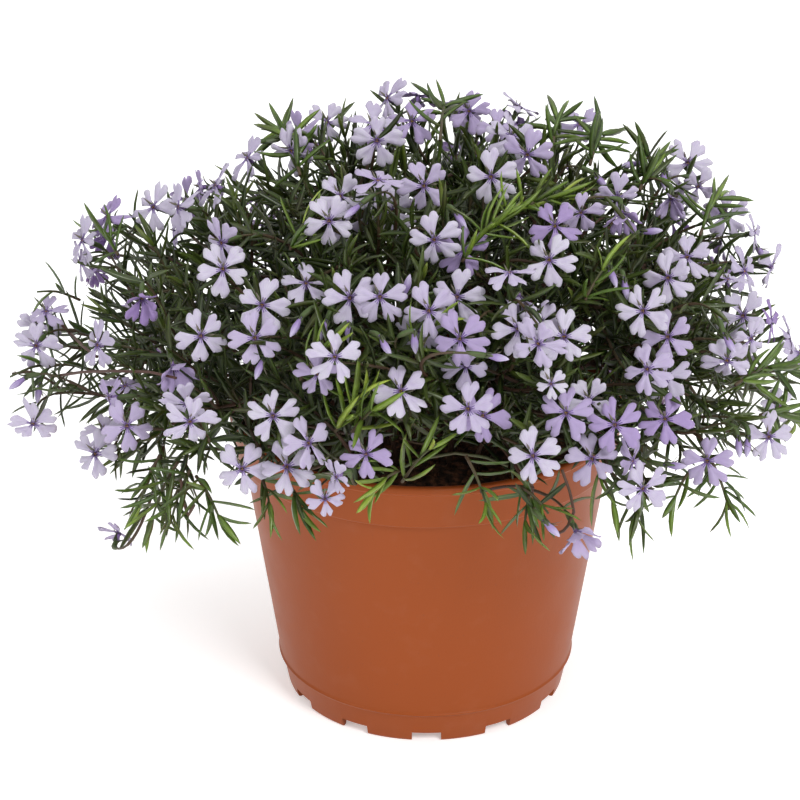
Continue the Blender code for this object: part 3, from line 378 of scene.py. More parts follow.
class Crowd:
    """Beads strung along everything placed so far, which new pieces are kept clear of."""

    def __init__(self):
        self.beads = np.zeros((MOST_BEADS, 5))
        self.count = 0

    def add(self, points, radius, owner):
        points = np.atleast_2d(points)
        last = self.count + len(points)
        self.beads[self.count:last, :3] = points
        self.beads[self.count:last, 3] = radius
        self.beads[self.count:last, 4] = owner
        self.count = last

    def room(self, points, radius, but=()):
        """The narrowest clear distance from the points to beads of any other owner."""
        points = np.atleast_2d(points)
        beads = self.beads[:self.count]
        middle = points.mean(axis=0)
        span = np.abs(points - middle).max() + 0.012
        near = (np.abs(beads[:, :3] - middle) < span).all(axis=1)
        for owner in but:
            near &= beads[:, 4] != owner
        beads = beads[near]
        if not len(beads):
            return 0.012
        apart = np.linalg.norm(points[:, None, :] - beads[None, :, :3], axis=2)
        return float((apart - beads[None, :, 3]).min() - radius)


class Head:
    """One bloom or bud: where it is, which way it faces and how it is turned."""

    def __init__(self, place, facing, petal, size, bud=False):
        self.place = place
        self.facing = facing
        self.petal = unit(petal - petal.dot(facing) * facing)
        self.size = size
        self.bud = bud

    def rays(self):
        """The direction of each petal from the throat."""
        return [spin_about(self.petal, self.facing, k * math.tau / 5) for k in range(5)]

    def beads(self):
        if self.bud:
            steps = np.linspace(-0.004, 0.006, 5)[:, None]
            return self.place + steps * self.facing
        points = [self.place]
        for ray in self.rays():
            side = np.cross(self.facing, ray)
            for reach, spread in ((0.25, 0.0), (0.5, 0.12), (0.5, -0.12), (0.72, 0.2), (0.72, -0.2),
                                  (0.92, 0.1), (0.92, -0.1), (0.92, 0.3), (0.92, -0.3)):
                points.append(self.place + BLOOM_RADIUS * self.size * (reach * ray + spread * side))
        return np.array(points)

    def stalk_beads(self):
        """The straight end of the stalk behind the head."""
        return self.place - np.array((0.0030, 0.0055, 0.0080))[:, None] * self.facing

    def root(self):
        """The point under the head where its stalk arrives."""
        depth = 0.006 if self.bud else THROAT_DEPTH
        return self.place - depth * self.facing

    def neck(self):
        """The point from which the stalk runs straight up to the head."""
        return self.root() - (0.0 if self.bud else NECK_LENGTH) * self.facing


def seen_frame(line):
    """Directions at a bloom as the eye sees them: to the eye, to the right and up."""
    return -line, SIDEWAYS, unit(np.cross(SIDEWAYS, line))


# How far a head may move along its sight line, nearest first, until nothing is in its way
SHIFTS = (0.0, 0.003, -0.003, 0.006, -0.006, 0.009, -0.009, 0.012, -0.012, 0.015, -0.015, 0.018, 0.021,
          0.024, 0.028, 0.032, 0.036, 0.040)


def add_head(head, heads, crowd, first_owner=0):
    owner = first_owner + len(heads)
    crowd.add(head.beads(), BUD_RADIUS if head.bud else PETAL_BEAD, owner)
    crowd.add(head.stalk_beads(), SHOOT_RADIUS, STALK_OWNERS + owner)
    heads.append(head)


def clear_head(line, facing, petal, size, back, crowd, bud=False):
    """A head on its sight line, moved along it until nothing is in its way."""
    radius = BUD_RADIUS if bud else PETAL_BEAD
    best, widest = None, -math.inf
    for shift in SHIFTS:
        head = Head(on_mound(line, back + shift), facing, petal, size, bud)
        room = min(crowd.room(head.beads(), radius), crowd.room(head.stalk_beads(), SHOOT_RADIUS))
        if room > widest:
            best, widest = head, room
        if room > HEAD_ROOM:
            break
    return best


def seen_heads(crowd):
    """The blooms and buds that the picture shows, each moved along its sight line until it is clear."""
    heads = []
    for row in BLOOMS_FRONT + BLOOMS_CROWN + BLOOMS_LEFT + BLOOMS_RIGHT:
        seen = Seen(*row)
        line = sight_line(seen.across, seen.down)
        to_eye, right, up = seen_frame(line)
        turn, lift, petal = map(math.radians, (seen.right, seen.up, seen.petal))
        facing = math.cos(lift) * (math.cos(turn) * to_eye + math.sin(turn) * right) + math.sin(lift) * up
        ray = math.cos(petal) * right + math.sin(petal) * up
        head = clear_head(line, facing, ray, seen.size, seen.back, crowd)
        add_head(head, heads, crowd)
    for across, down, way in BUDS_SEEN:
        line = sight_line(across, down)
        to_eye, right, up = seen_frame(line)
        facing = unit(math.cos(math.radians(way)) * right + math.sin(math.radians(way)) * up + 0.3 * to_eye)
        head = clear_head(line, facing, to_eye, 1.0, 0.0, crowd, bud=True)
        add_head(head, heads, crowd)
    return heads


def turned_away(direction):
    """Whether a place on the mound looks away from the eye, where the picture shows no bloom."""
    outward = unit(direction / MOUND_RADII)
    to_eye = unit(EYE - (MOUND_CENTRE + MOUND_RADII * direction))
    return outward.dot(to_eye) < -0.06


def back_heads(crowd, draw, first_owner):
    """Blooms over the far side of the mound, spread as evenly as those in front."""
    heads = []
    spots = (even_direction(k, BACK_SPOTS, LOWEST_BLOOM) for k in range(BACK_SPOTS))
    order = [direction for direction in spots if turned_away(direction)]
    draw.shuffle(order)
    edge = Head(EDGE_BLOOM, unit(np.array((0.55, -0.2, 0.8))), np.array((1.0, 0.0, -0.6)), 1.0)
    add_head(edge, heads, crowd, first_owner)
    for direction in order:
        if len(heads) == BACK_BLOOMS:
            break
        reach = draw.uniform(0.95, 1.06)
        place = MOUND_CENTRE + MOUND_RADII * direction * reach
        facing = unit(unit(direction / MOUND_RADII) + scatter(draw, 0.45) + np.array((0, 0, 0.15)))
        petal = np.cross(facing, unit(scatter(draw)))
        head = Head(place, facing, petal, draw.uniform(0.85, 1.03))
        room = min(crowd.room(head.beads(), PETAL_BEAD), crowd.room(head.stalk_beads(), PETAL_BEAD))
        if room > BACK_ROOM:
            add_head(head, heads, crowd, first_owner)
    return heads


def spray_directions():
    """Even directions over the mound, with the low ones left out in front where the soil shows."""
    total = SPRAYS + 3
    spread = [even_direction(k, total, LOWEST_SPRAY, 0.4) for k in range(total)]
    return [way for way in spread if not (way[2] < 0.12 and abs(way[0]) < 0.35 and way[1] < 0)]


def stem_controls(direction):
    """The curve of a main stem from its root in the soil, up and over the rim, to its tip in the mound."""
    polar = math.acos(direction[2]) / LOWEST_SPRAY
    low = max(polar - 0.6, 0.0) / 0.4
    flat = unit(np.array((direction[0], direction[1], 0.0)))
    root = flat * CROWN_RADIUS * polar + np.array((0, 0, SOIL_LEVEL - ROOT_DEPTH))
    tip = MOUND_CENTRE + MOUND_RADII * direction * (STEM_REACH + low * (LOW_STEM_REACH - STEM_REACH))
    knee = root + flat * 0.010 * polar + np.array((0, 0, 0.058 - 0.008 * polar))
    arrival = unit(direction * np.array((1, 1, 0.6)) + np.array((0, 0, 0.9 * (1 - polar) - 0.35 * low)))
    return root, knee, tip - arrival * (0.034 + 0.006 * low), tip


def chords(points, spacing=0.0022):
    """Points at even steps along the straight lengths between stations."""
    runs = []
    for a, b in zip(points, points[1:]):
        count = max(2, int(np.linalg.norm(b - a) / spacing) + 1)
        runs.append(a + np.linspace(0, 1, count, endpoint=False)[:, None] * (b - a))
    return np.vstack(runs + [points[-1:]])


def curve_length(controls):
    return np.linalg.norm(np.diff(bezier(controls, np.linspace(0, 1, 30)), axis=0), axis=1).sum()


class Shoot:
    """A side shoot from a stem's node, or from its tip, to a bloom or bud."""

    def __init__(self, controls, head, owner):
        self.controls = controls
        self.head = head
        self.owner = owner
        length = curve_length(controls)
        self.levels = [0.0, 0.4, 0.75, 1.0]
        if not head.bud:
            whorl = 0.55 if length > 0.024 else 0.42
            halfway = [0.5 * whorl] if length > 0.055 else []
            self.levels = [0.0, *halfway, whorl, whorl + NODE_LENGTH / length, 1.0]
        self.points = bezier(controls, np.array(self.levels))
        if not head.bud:
            self.points = np.vstack((self.points, head.root()))

    def straightness(self):
        """How nearly each length between stations runs the way that both its ends are heading."""
        lowest = 1.0
        for k in range(len(self.levels) - 1):
            chord = unit(self.points[k + 1] - self.points[k])
            for level in (self.levels[k] + 0.02 * (k == 0), self.levels[k + 1]):
                lowest = min(lowest, chord.dot(bezier_slope(self.controls, level)))
        return lowest


class Spray:
    """One leafy stem: its curve, its nodes along the curve, and the heads that it carries."""

    def __init__(self, number, direction):
        self.number = number
        self.direction = direction
        self.heads = []
        self.nodes = []
        self.shoots = []

    def levels(self):
        """The stations along the stem, a short length at each node and longer ones between."""
        half = NODE_LENGTH / curve_length(self.controls) / 2
        levels = [0.0, FIRST_LEVEL]
        for level, _ in self.nodes:
            levels += [level - half, level + half]
        return levels + [1.0]


def share_out(heads, sprays):
    """Each head goes to the spray that points at it most nearly, and the sprays lean to their heads."""
    for _ in range(5):
        for spray in sprays:
            spray.heads = []
        for owner, head in enumerate(heads):
            aim = unit((head.root() - MOUND_CENTRE) / MOUND_RADII)
            nearest = max(sprays, key=lambda spray: spray.direction.dot(aim))
            nearest.heads.append((owner, head, aim))
        for spray in sprays:
            for _, _, aim in spray.heads:
                if aim[2] > math.cos(LOWEST_SPRAY) + 0.02:
                    spray.direction = unit(spray.direction + 0.25 * aim)


def place_nodes(spray):
    """The head that best suits the end of the stem, then even nodes down from there for the others."""
    stem = bezier(spray.controls, np.linspace(0, 1, 101))
    onward = bezier_slope(spray.controls, 1.0)
    wanted = []
    for owner, head, _ in spray.heads:
        offset = np.linalg.norm(stem - head.neck(), axis=1)
        ahead = head.neck() - stem[-1]
        fit = unit(ahead).dot(onward + 0.7 * head.facing) - (np.linalg.norm(ahead) < 0.018)
        wanted.append((offset.argmin() / 100 - offset.min() * 8, owner, head, fit))
    spray.tip_head = max(wanted, key=lambda row: row[3], default=None)
    if spray.tip_head and spray.tip_head[3] < 0.5:
        spray.tip_head = None
    wanted = sorted((row for row in wanted if row is not spray.tip_head), key=lambda row: -row[0])
    count = max(2, math.ceil(len(wanted) / 2))
    for k in range(count):
        spray.nodes.append((TOP_NODE - NODE_SPACING * k, wanted[2 * k:2 * k + 2]))
    spray.nodes.reverse()


def shoot_room(shoot, crowd, stem_owner):
    """The clear room round a shoot, apart from where it leaves its stem and meets its head."""
    points = chords(shoot.points)
    bends = (shoot.straightness() - STRAIGHTEST_BEND) * 0.01
    if not all(clear_of_pot(point, SHOOT_RADIUS + 2 * GAP) for point in points):
        bends -= 0.01
    own = (shoot.owner, STALK_OWNERS + shoot.owner)
    beside = crowd.room(points[2:-1], SHOOT_RADIUS, own + (stem_owner,))
    beyond = crowd.room(points[4:-1], SHOOT_RADIUS, own) if len(points) > 6 else beside
    around = crowd.room(points[2:-3], SHOOT_RADIUS, own[1:] + (stem_owner,)) if len(points) > 6 else beside
    return min(beside, beyond, around, bends)


def route(root, side, lead, head, owner, crowd, draw, stem_owner):
    """The clearest of several shoots from a root, on a given side of its stem, to a head's underside."""
    end = head.neck()
    reach = np.linalg.norm(end - root)
    best = None
    for attempt in range(ROUTES):
        loose = min(attempt / 50, 1.6)
        away = unit(lead + loose * 0.7 * scatter(draw) + 0.35 * (end - root) / reach)
        swing = scatter(draw) * 0.22 * loose * reach
        back = draw.uniform(0.30, 0.55) * reach
        controls = (root, root + away * reach * draw.uniform(0.25, 0.5),
                    end - head.facing * back + swing, end)
        if away.dot(side) < 0.4:
            continue
        shoot = Shoot(controls, head, owner)
        shoot.room = shoot_room(shoot, crowd, stem_owner)
        if best is None or shoot.room > best.room:
            best = shoot
        if best.room > ROUTE_ROOM:
            break
    return best


def main_stem_frame(controls, level):
    """Directions along and across the stem at one of its nodes."""
    tangent = bezier_slope(controls, level)
    first = unit(np.cross(tangent, np.array((0.0, 0.0, 1.0)) + 0.01 * SIDEWAYS))
    return tangent, first, np.cross(tangent, first)


def grow_plan():
    """The whole plant as curves and heads, before any of it is a mesh."""
    draw = random.Random(29)
    crowd = Crowd()
    heads = seen_heads(crowd)
    heads += back_heads(crowd, draw, len(heads))
    sprays = [Spray(k, direction) for k, direction in enumerate(spray_directions())]
    share_out(heads, sprays)
    for spray in sprays:
        spray.controls = stem_controls(spray.direction)
        place_nodes(spray)
        stations = bezier(spray.controls, np.array(spray.levels()))
        crowd.add(chords(stations, 0.0015), STEM_RADIUS, STEM_OWNERS + spray.number)
    for spray in sprays:
        plan_shoots(spray, crowd, draw)
    return sprays


def plan_shoots(spray, crowd, draw):
    """Each head's shoot, from the end of the stem or from a free side of the node that suits it best."""
    stem_owner = STEM_OWNERS + spray.number
    waiting = [(index, row) for index, (_, group) in enumerate(spray.nodes) for row in group]
    waiting.reverse()
    if spray.tip_head:
        _, owner, head, _ = spray.tip_head
        onward = bezier_slope(spray.controls, 1.0)
        shoot = route(spray.controls[3], onward, onward, head, owner, crowd, draw, stem_owner)
        if shoot.room > 0 or not waiting:
            add_shoot(spray, shoot, crowd)
        else:
            waiting.append((len(spray.nodes) - 1, spray.tip_head))
    frames = [main_stem_frame(spray.controls, level) for level, _ in spray.nodes]
    free = [[first, second, -first, -second] for _, first, second in frames]
    for wish, (_, owner, head, _) in waiting:
        best = None
        for index in sorted(range(len(frames)), key=lambda node: abs(node - wish)):
            centre = bezier(spray.controls, spray.nodes[index][0])
            aim = unit(head.neck() - centre)
            if not free[index]:
                continue
            side = max(free[index], key=lambda way: way.dot(aim))
            root = centre + side * STEM_RADIUS * 0.7
            lead = unit(side + 0.7 * frames[index][0])
            shoot = route(root, side, lead, head, owner, crowd, draw, stem_owner)
            shoot.side, shoot.node = side, index
            if best is None or shoot.room > best.room:
                best = shoot
            if best.room > GAP:
                break
        free[best.node] = [way for way in free[best.node] if way is not best.side]
        add_shoot(spray, best, crowd)


def add_shoot(spray, shoot, crowd):
    spray.shoots.append(shoot)
    crowd.add(chords(shoot.points, 0.0015)[1:], SHOOT_RADIUS, SHOOT_OWNERS + shoot.owner)


def pot_profile():
    """Up the inside from the middle of the plate, over the rim, down the outside and under the plate."""
    inner_foot = FOOT_RADIUS - FOOT_WALL
    inside = [
        (0.0, PLATE_TOP),
        (PLATE_RADIUS, PLATE_TOP),
        (WALL_TOP_RADIUS - WALL, NECK_HEIGHT),
        (WALL_TOP_RADIUS + COLLAR_STEP - WALL, COLLAR_FOOT + 0.0010),
        (RIM_RADIUS - 0.0030, POT_HEIGHT),
    ]
    outside = [
        (RIM_RADIUS - 0.0004, POT_HEIGHT - 0.0004),
        (RIM_RADIUS, POT_HEIGHT - RIM_BEAD),
        (RIM_RADIUS - 0.0009, POT_HEIGHT - RIM_BEAD - 0.0006),
        (WALL_TOP_RADIUS + COLLAR_STEP + 0.0005, COLLAR_FOOT + 0.0008),
        (WALL_TOP_RADIUS, COLLAR_FOOT),
        (WALL_FOOT_RADIUS, LEDGE_HEIGHT + 0.0010),
        (LEDGE_RADIUS, LEDGE_HEIGHT),
        (LEDGE_RADIUS - 0.0016, LEDGE_HEIGHT - 0.0010),
        (FOOT_RADIUS, 0.0),
        (inner_foot, 0.0),
        (inner_foot - 0.0002, PLATE_UNDERSIDE),
        (0.0, PLATE_UNDERSIDE),
    ]
    return inside + outside


def soil_height(x, y):
    """The height of the soil's crumbly surface, a little domed in the middle."""
    across = math.hypot(x, y) / RIM_RADIUS
    crumbs = noise.noise(Vector((x, y, 0.3)) * 45)
    return SOIL_LEVEL + SOIL_CROWN * (1 - across * across) + SOIL_ROUGHNESS * crumbs


def soil_side(height):
    """The radius of the pot's inner wall at a height, less the gap to it."""
    rise = (height - PLATE_TOP) / (NECK_HEIGHT - PLATE_TOP)
    return PLATE_RADIUS + rise * (WALL_TOP_RADIUS - WALL - PLATE_RADIUS) - GAP


def on_picture(point):
    """The pixel of the picture at which a point is seen."""
    offset = point - EYE
    depth = offset.dot(AHEAD)
    return (MIDDLE_PIXEL + FOCAL_PIXELS * offset.dot(SIDEWAYS) / depth,
            MIDDLE_PIXEL - FOCAL_PIXELS * offset.dot(UPWARD) / depth)


def allowed(tip):
    """Whether a leaf tip stays inside the plant's outline and off the view of the soil in front."""
    scaled = (tip - MOUND_CENTRE) / MOUND_RADII
    if np.linalg.norm(scaled) > MOUND_REACH or tip[2] < LOWEST_LEAF:
        return False
    across, down = on_picture(tip)
    hides = any(left < across < right and down > top for left, right, top in OPEN_VIEWS)
    return not (tip[1] < FRONT and hides)


class PhloxSettings(bpy.types.PropertyGroup):
    """How full the plant is."""
    leaf_scale: FloatProperty(name="Leaf size", description="Size of each leaf", default=1.0, min=0.5,
                              max=1.5)
    leaf_spacing: FloatProperty(name="Leaf spacing", description="Length of stem between leaf pairs",
                                default=LEAF_PAIR_SPACING, min=0.002, max=0.010, unit="LENGTH",
                                subtype="DISTANCE")
    fillers: IntProperty(name="Leafy shoots", description="Shoots without a bloom that fill the cushion",
                         default=FILLER_SHOOTS, min=0, max=600)
    spread: FloatProperty(name="Size spread", description="How much leaves differ in size", default=0.14,
                          min=0.0, max=0.4, subtype="FACTOR")
    seed: IntProperty(name="Seed", description="Number that the leaves are drawn from", default=7, min=0)


class StageSettings(bpy.types.PropertyGroup):
    """How brightly the plant is lit."""
    key_power: FloatProperty(name="Key light", description="Power of the large light at the front right",
                             default=28.0, min=0.0, unit="POWER")
    fill_power: FloatProperty(name="Fill light", description="Power of the lights at the left and above",
                              default=7.0, min=0.0, unit="POWER")
    sky: FloatProperty(name="Sky", description="Brightness of the white surroundings", default=1.0, min=0.0)


def add_object(name, data):
    """An object in the scene with a mesh, a lamp or a camera."""
    item = bpy.data.objects.new(name, data)
    bpy.context.scene.collection.objects.link(item)
    return item


def from_bmesh(name, bm):
    """An object with the mesh that was being edited."""
    mesh = bpy.data.meshes.new(name)
    bm.to_mesh(mesh)
    bm.free()
    return add_object(name, mesh)


def set_attribute(mesh, key, kind, values):
    """Stores a number or a vector for each point of a mesh."""
    layer = mesh.attributes.new(key, kind, "POINT")
    values = np.asarray(values, dtype=np.int32 if kind == "INT" else np.float32)
    layer.data.foreach_set("vector" if kind == "FLOAT_VECTOR" else "value", values.ravel())


def add_mesh(name, vertices, faces, blade=None, tint=None):
    """A mesh object with the values that its patterns run along, smooth where it has them."""
    mesh = bpy.data.meshes.new(name)
    mesh.from_pydata([tuple(v) for v in vertices], [], faces)
    if blade is not None:
        set_attribute(mesh, "blade", "FLOAT_VECTOR", blade)
        mesh.shade_smooth()
    if tint is not None:
        set_attribute(mesh, "tint", "FLOAT", tint)
    mesh.update()
    return add_object(name, mesh)


def evaluated_mesh(item):
    """The mesh that an object's modifiers give."""
    depsgraph = bpy.context.evaluated_depsgraph_get()
    return bpy.data.meshes.new_from_object(item.evaluated_get(depsgraph))


def ring_points(radius, height, sides):
    angles = [k * math.tau / sides for k in range(sides)]
    return [(radius * math.cos(angle), radius * math.sin(angle), height) for angle in angles]


def ring_faces(first, rings, sides, inward=False):
    """Faces that join each ring of points to the next."""
    faces = []
    for start in range(first, first + (rings - 1) * sides, sides):
        for k in range(sides):
            a, b = start + k, start + (k + 1) % sides
            faces.append((a, a + sides, b + sides, b) if inward else (a, b, b + sides, a + sides))
    return faces


def leaf_shape(name, bend, swerve):
    """A narrow leaf with a groove along its upper side, in metres along +X."""
    stations = ((0.0, 0.42), (0.15, 0.75), (0.40, 1.0), (0.65, 0.93), (0.86, 0.58))
    vertices, blade = [], []
    for along, wide in stations:
        x = along * LEAF_SIZE
        half = LEAF_HALF_WIDTH * wide
        y, z = swerve * along * along * LEAF_SIZE, bend * along * along * LEAF_SIZE
        vertices += [(x, y - half, z + 0.30 * half), (x, y, z + 0.02 * half),
                     (x, y + half, z + 0.30 * half), (x, y, z - LEAF_THICKNESS)]
        blade += [(-1, along, 0), (0, along, 0), (1, along, 0), (0, along, -1)]
    vertices.append((LEAF_SIZE, swerve * LEAF_SIZE, bend * LEAF_SIZE))
    blade.append((0, 1, 0))
    faces = ring_faces(0, len(stations), 4, inward=True)
    last = 4 * len(stations) - 4
    faces += [(last + j, last + 4, last + (j + 1) % 4) for j in range(4)]
    faces.append((0, 1, 2, 3))
    return add_mesh(name, vertices, faces, blade)


def petal_points(across, along, form):
    """Where a point of a petal lies: out along +X, with the face towards +Z."""
    cup, notch, uneven, bow, lift = form
    outline = 1.0 - notch * math.exp(-abs(across) / 0.20) - 0.13 * across ** 4 + uneven * across
    out = (BLOOM_RADIUS - THROAT_LIP) * along * outline
    wide = PETAL_HALF_WIDTH * (0.13 + 0.87 * min(along / PETAL_SHOULDER, 1.0) ** 1.25)
    wide *= 1.0 - 0.20 * (max(along - PETAL_SHOULDER, 0.0) / 0.18) ** 2
    height = cup * along * along * BLOOM_RADIUS - 0.0010 * across * across * along
    height -= 0.00045 * math.exp(-((across / 0.22) ** 2)) * along
    height += 0.00025 * math.sin(7 * along + 4 * across)
    forward = out * math.cos(lift) - height * math.sin(lift)
    upward = out * math.sin(lift) + height * math.cos(lift)
    return THROAT_LIP + forward, across * wide + bow * out * along, upward


def bloom_shape(name, seed, nodding=False):
    """Five notched petals, a tube and three anthers, facing +Z with the first petal along +X."""
    draw = random.Random(seed)
    wide, long = PETAL_GRID
    vertices, blade, faces = [], [], []
    for k in range(5):
        turn = k * math.tau / 5 + draw.gauss(0, 0.06)
        lift = draw.uniform(0.75, 1.15) if nodding else draw.uniform(-0.28, 0.26)
        form = (draw.uniform(-0.16, 0.10), draw.uniform(0.16, 0.30), draw.gauss(0, 0.05),
                draw.gauss(0, 0.07), lift)
        skew = draw.gauss(0, 0.22)
        size = draw.uniform(0.92, 1.06)
        first = len(vertices)
        for under in (0, 1):
            for j in range(long + 1):
                for i in range(wide + 1):
                    across, along = 2 * i / wide - 1, j / long
                    x, y, z = petal_points(across, along, form)
                    edge = min(1 - abs(across), 1 - along, along + 0.5)
                    z -= under * PETAL_THICKNESS * (0.35 + min(edge * 3, 0.65))
                    x, y, z = x * size, y * size, z + skew * y
                    vertices.append((x * math.cos(turn) - y * math.sin(turn),
                                     x * math.sin(turn) + y * math.cos(turn), z))
                    blade.append((across, along, 0.0))
        row = wide + 1
        count = row * (long + 1)
        for j in range(long):
            for i in range(wide):
                a = first + j * row + i
                faces.append((a, a + row, a + row + 1, a + 1))
                b = a + count
                faces.append((b, b + 1, b + row + 1, b + row))
        rim = [j * row for j in range(long + 1)] + [long * row + i for i in range(1, wide + 1)]
        rim += [j * row + wide for j in range(long - 1, -1, -1)] + [i for i in range(wide - 1, 0, -1)]
        for a, b in zip(rim, rim[1:] + rim[:1]):
            faces.append((first + a, first + a + count, first + b + count, first + b))
    add_tube(vertices, blade, faces)
    for k in range(3):
        angle = k * math.tau / 3 + 0.4
        add_bead(vertices, blade, faces, (0.0004 * math.cos(angle), 0.0004 * math.sin(angle), -0.0003))
    return add_mesh(name, vertices, faces, blade)


def add_tube(vertices, blade, faces):
    """The funnel that the petals spread from: down its inside, round its foot and up its outside."""
    sides = 10
    rings = ((0.0003, -0.0022, 0.2), (0.0005, -0.0010, 0.6), (THROAT_LIP + 0.0002, 0.00012, 1.0),
             (THROAT_LIP + 0.0004, -0.0002, 0.95), (0.0009, -0.0015, 0.1), (0.00070, -TUBE_LENGTH, 0.0))
    first = len(vertices)
    for radius, height, along in rings:
        vertices += ring_points(radius, height, sides)
        blade += [(0.0, along, 1.0)] * sides
    faces += ring_faces(first, len(rings), sides, inward=True)
    last = len(vertices)
    faces += [tuple(range(first, first + sides)), tuple(reversed(range(last - sides, last)))]


def add_bead(vertices, blade, faces, centre, size=0.00024):
    """A small anther, longer than it is wide."""
    first = len(vertices)
    x, y, z = centre
    vertices += [(x, y, z + 1.5 * size), (x + size, y, z), (x, y + size, z), (x - size, y, z),
                 (x, y - size, z), (x, y, z - 1.5 * size)]
    blade += [(0.0, 0.0, 2.0)] * 6
    for k in range(4):
        a, b = first + 1 + k, first + 1 + (k + 1) % 4
        faces += [(first, a, b), (first + 5, b, a)]


def bud_shape(name, twist):
    """A furled bud pointing along +Z, with its folds twisted round it."""
    sides = 12
    rings = ((0.0, 0.00060), (0.0016, 0.00075), (0.0034, 0.00110), (0.0050, 0.00140), (0.0066, 0.00135),
             (0.0082, 0.00095), (0.0094, 0.00040))
    vertices, blade = [], []
    for height, radius in rings:
        for k in range(sides):
            angle = k * math.tau / sides
            fold = math.cos(5 * angle + twist * height / 0.004)
            wide = radius * (1 + 0.10 * fold)
            vertices.append((wide * math.cos(angle), wide * math.sin(angle), height))
            blade.append((fold, height / 0.0094, 3.0))
    vertices.append((0.0, 0.0, 0.0099))
    blade.append((0.0, 1.0, 3.0))
    last = (len(rings) - 1) * sides
    faces = ring_faces(0, len(rings), sides)
    faces += [(last + k, last + (k + 1) % sides, last + sides) for k in range(sides)]
    faces.append(tuple(reversed(range(sides))))
    return add_mesh(name, vertices, faces, blade)


class Sprinkle:
    """Places at which a shape is repeated, with how each copy is turned, sized and tinted."""

    def __init__(self):
        self.places, self.turns, self.sizes, self.tints, self.kinds = [], [], [], [], []

    def add(self, place, first, third, size, tint, kind):
        """Copies lie with their +X along first and their +Z as nearly as may be along third."""
        first = unit(np.asarray(first))
        third = unit(third - np.dot(third, first) * first)
        second = np.cross(third, first)
        turn = Matrix(np.column_stack((first, second, third)).tolist()).to_euler()
        self.places.append(tuple(place))
        self.turns.append(tuple(turn))
        self.sizes.append(size)
        self.tints.append(tint)
        self.kinds.append(kind)

    def as_points(self, name):
        mesh = bpy.data.meshes.new(name)
        mesh.from_pydata(self.places, [], [])
        for key, kind, values in (("turn", "FLOAT_VECTOR", self.turns), ("size", "FLOAT_VECTOR", self.sizes),
                                  ("tint", "FLOAT", self.tints), ("kind", "INT", self.kinds)):
            set_attribute(mesh, key, kind, values)
        return add_object(name, mesh)


def repeat_tree():
    """Nodes that put one of a collection's shapes at each point, turned and sized as the point says."""
    tree = bpy.data.node_groups.new("repeat_shapes", "GeometryNodeTree")
    for name, kind in (("Points", "Geometry"), ("Shapes", "Collection"), ("Material", "Material"),
                       ("Size", "Float"), ("Spread", "Float"), ("Seed", "Int")):
        tree.interface.new_socket(name, in_out="INPUT", socket_type=f"NodeSocket{kind}")
    tree.interface.new_socket("Geometry", in_out="OUTPUT", socket_type="NodeSocketGeometry")
    new = tree.nodes.new
    start, end = new("NodeGroupInput"), new("NodeGroupOutput")
    shapes = new("GeometryNodeCollectionInfo")
    shapes.inputs["Separate Children"].default_value = True
    shapes.inputs["Reset Children"].default_value = True
    turn, size, shape = (new("GeometryNodeInputNamedAttribute") for _ in range(3))
    for node, key, kind in ((turn, "turn", "FLOAT_VECTOR"), (size, "size", "FLOAT_VECTOR"),
                            (shape, "kind", "INT")):
        node.data_type = kind
        node.inputs["Name"].default_value = key
    jitter = new("FunctionNodeRandomValue")
    jitter.data_type = "FLOAT"
    low, high, scaled = new("ShaderNodeMath"), new("ShaderNodeMath"), new("ShaderNodeVectorMath")
    low.operation, high.operation, scaled.operation = "SUBTRACT", "ADD", "SCALE"
    rotation = new("FunctionNodeEulerToRotation")
    place = new("GeometryNodeInstanceOnPoints")
    place.inputs["Pick Instance"].default_value = True
    real, paint = new("GeometryNodeRealizeInstances"), new("GeometryNodeSetMaterial")
    for source, out, target, to in (
            (start, "Shapes", shapes, "Collection"), (start, "Size", low, 0), (start, "Spread", low, 1),
            (start, "Size", high, 0), (start, "Spread", high, 1), (low, 0, jitter, 2), (high, 0, jitter, 3),
            (start, "Seed", jitter, "Seed"), (size, 0, scaled, 0), (jitter, 1, scaled, "Scale"),
            (turn, 0, rotation, 0), (start, "Points", place, "Points"), (shapes, 0, place, "Instance"),
            (shape, 0, place, "Instance Index"), (rotation, 0, place, "Rotation"),
            (scaled, 0, place, "Scale"), (place, 0, real, 0), (real, 0, paint, "Geometry"),
            (start, "Material", paint, "Material"), (paint, 0, end, 0)):
        tree.links.new(source.outputs[out], target.inputs[to])
    return tree


def repeat(sprinkle, name, shapes, material, size=1.0, spread=0.0, seed=0):
    """The sprinkle's copies as one plain mesh."""
    group = bpy.data.collections.new(f"{name}_shapes")
    for shape in shapes:
        bpy.context.scene.collection.objects.unlink(shape)
        group.objects.link(shape)
    item = sprinkle.as_points(name)
    tree = bpy.data.node_groups.get("repeat_shapes") or repeat_tree()
    nodes = item.modifiers.new("repeat", "NODES")
    nodes.node_group = tree
    inputs = {socket.name: socket.identifier for socket in tree.interface.items_tree
              if socket.in_out == "INPUT"}
    for key, value in (("Shapes", group), ("Material", material), ("Size", size), ("Spread", spread),
                       ("Seed", seed)):
        nodes[inputs[key]] = value
    mesh = evaluated_mesh(item)
    item.modifiers.clear()
    mesh.materials.clear()
    mesh.materials.append(material)
    mesh.polygons.foreach_set("material_index", np.zeros(len(mesh.polygons), dtype=np.int32))
    item.data = mesh
    for shape in shapes:
        bpy.data.objects.remove(shape)
    bpy.data.collections.remove(group)
    return item


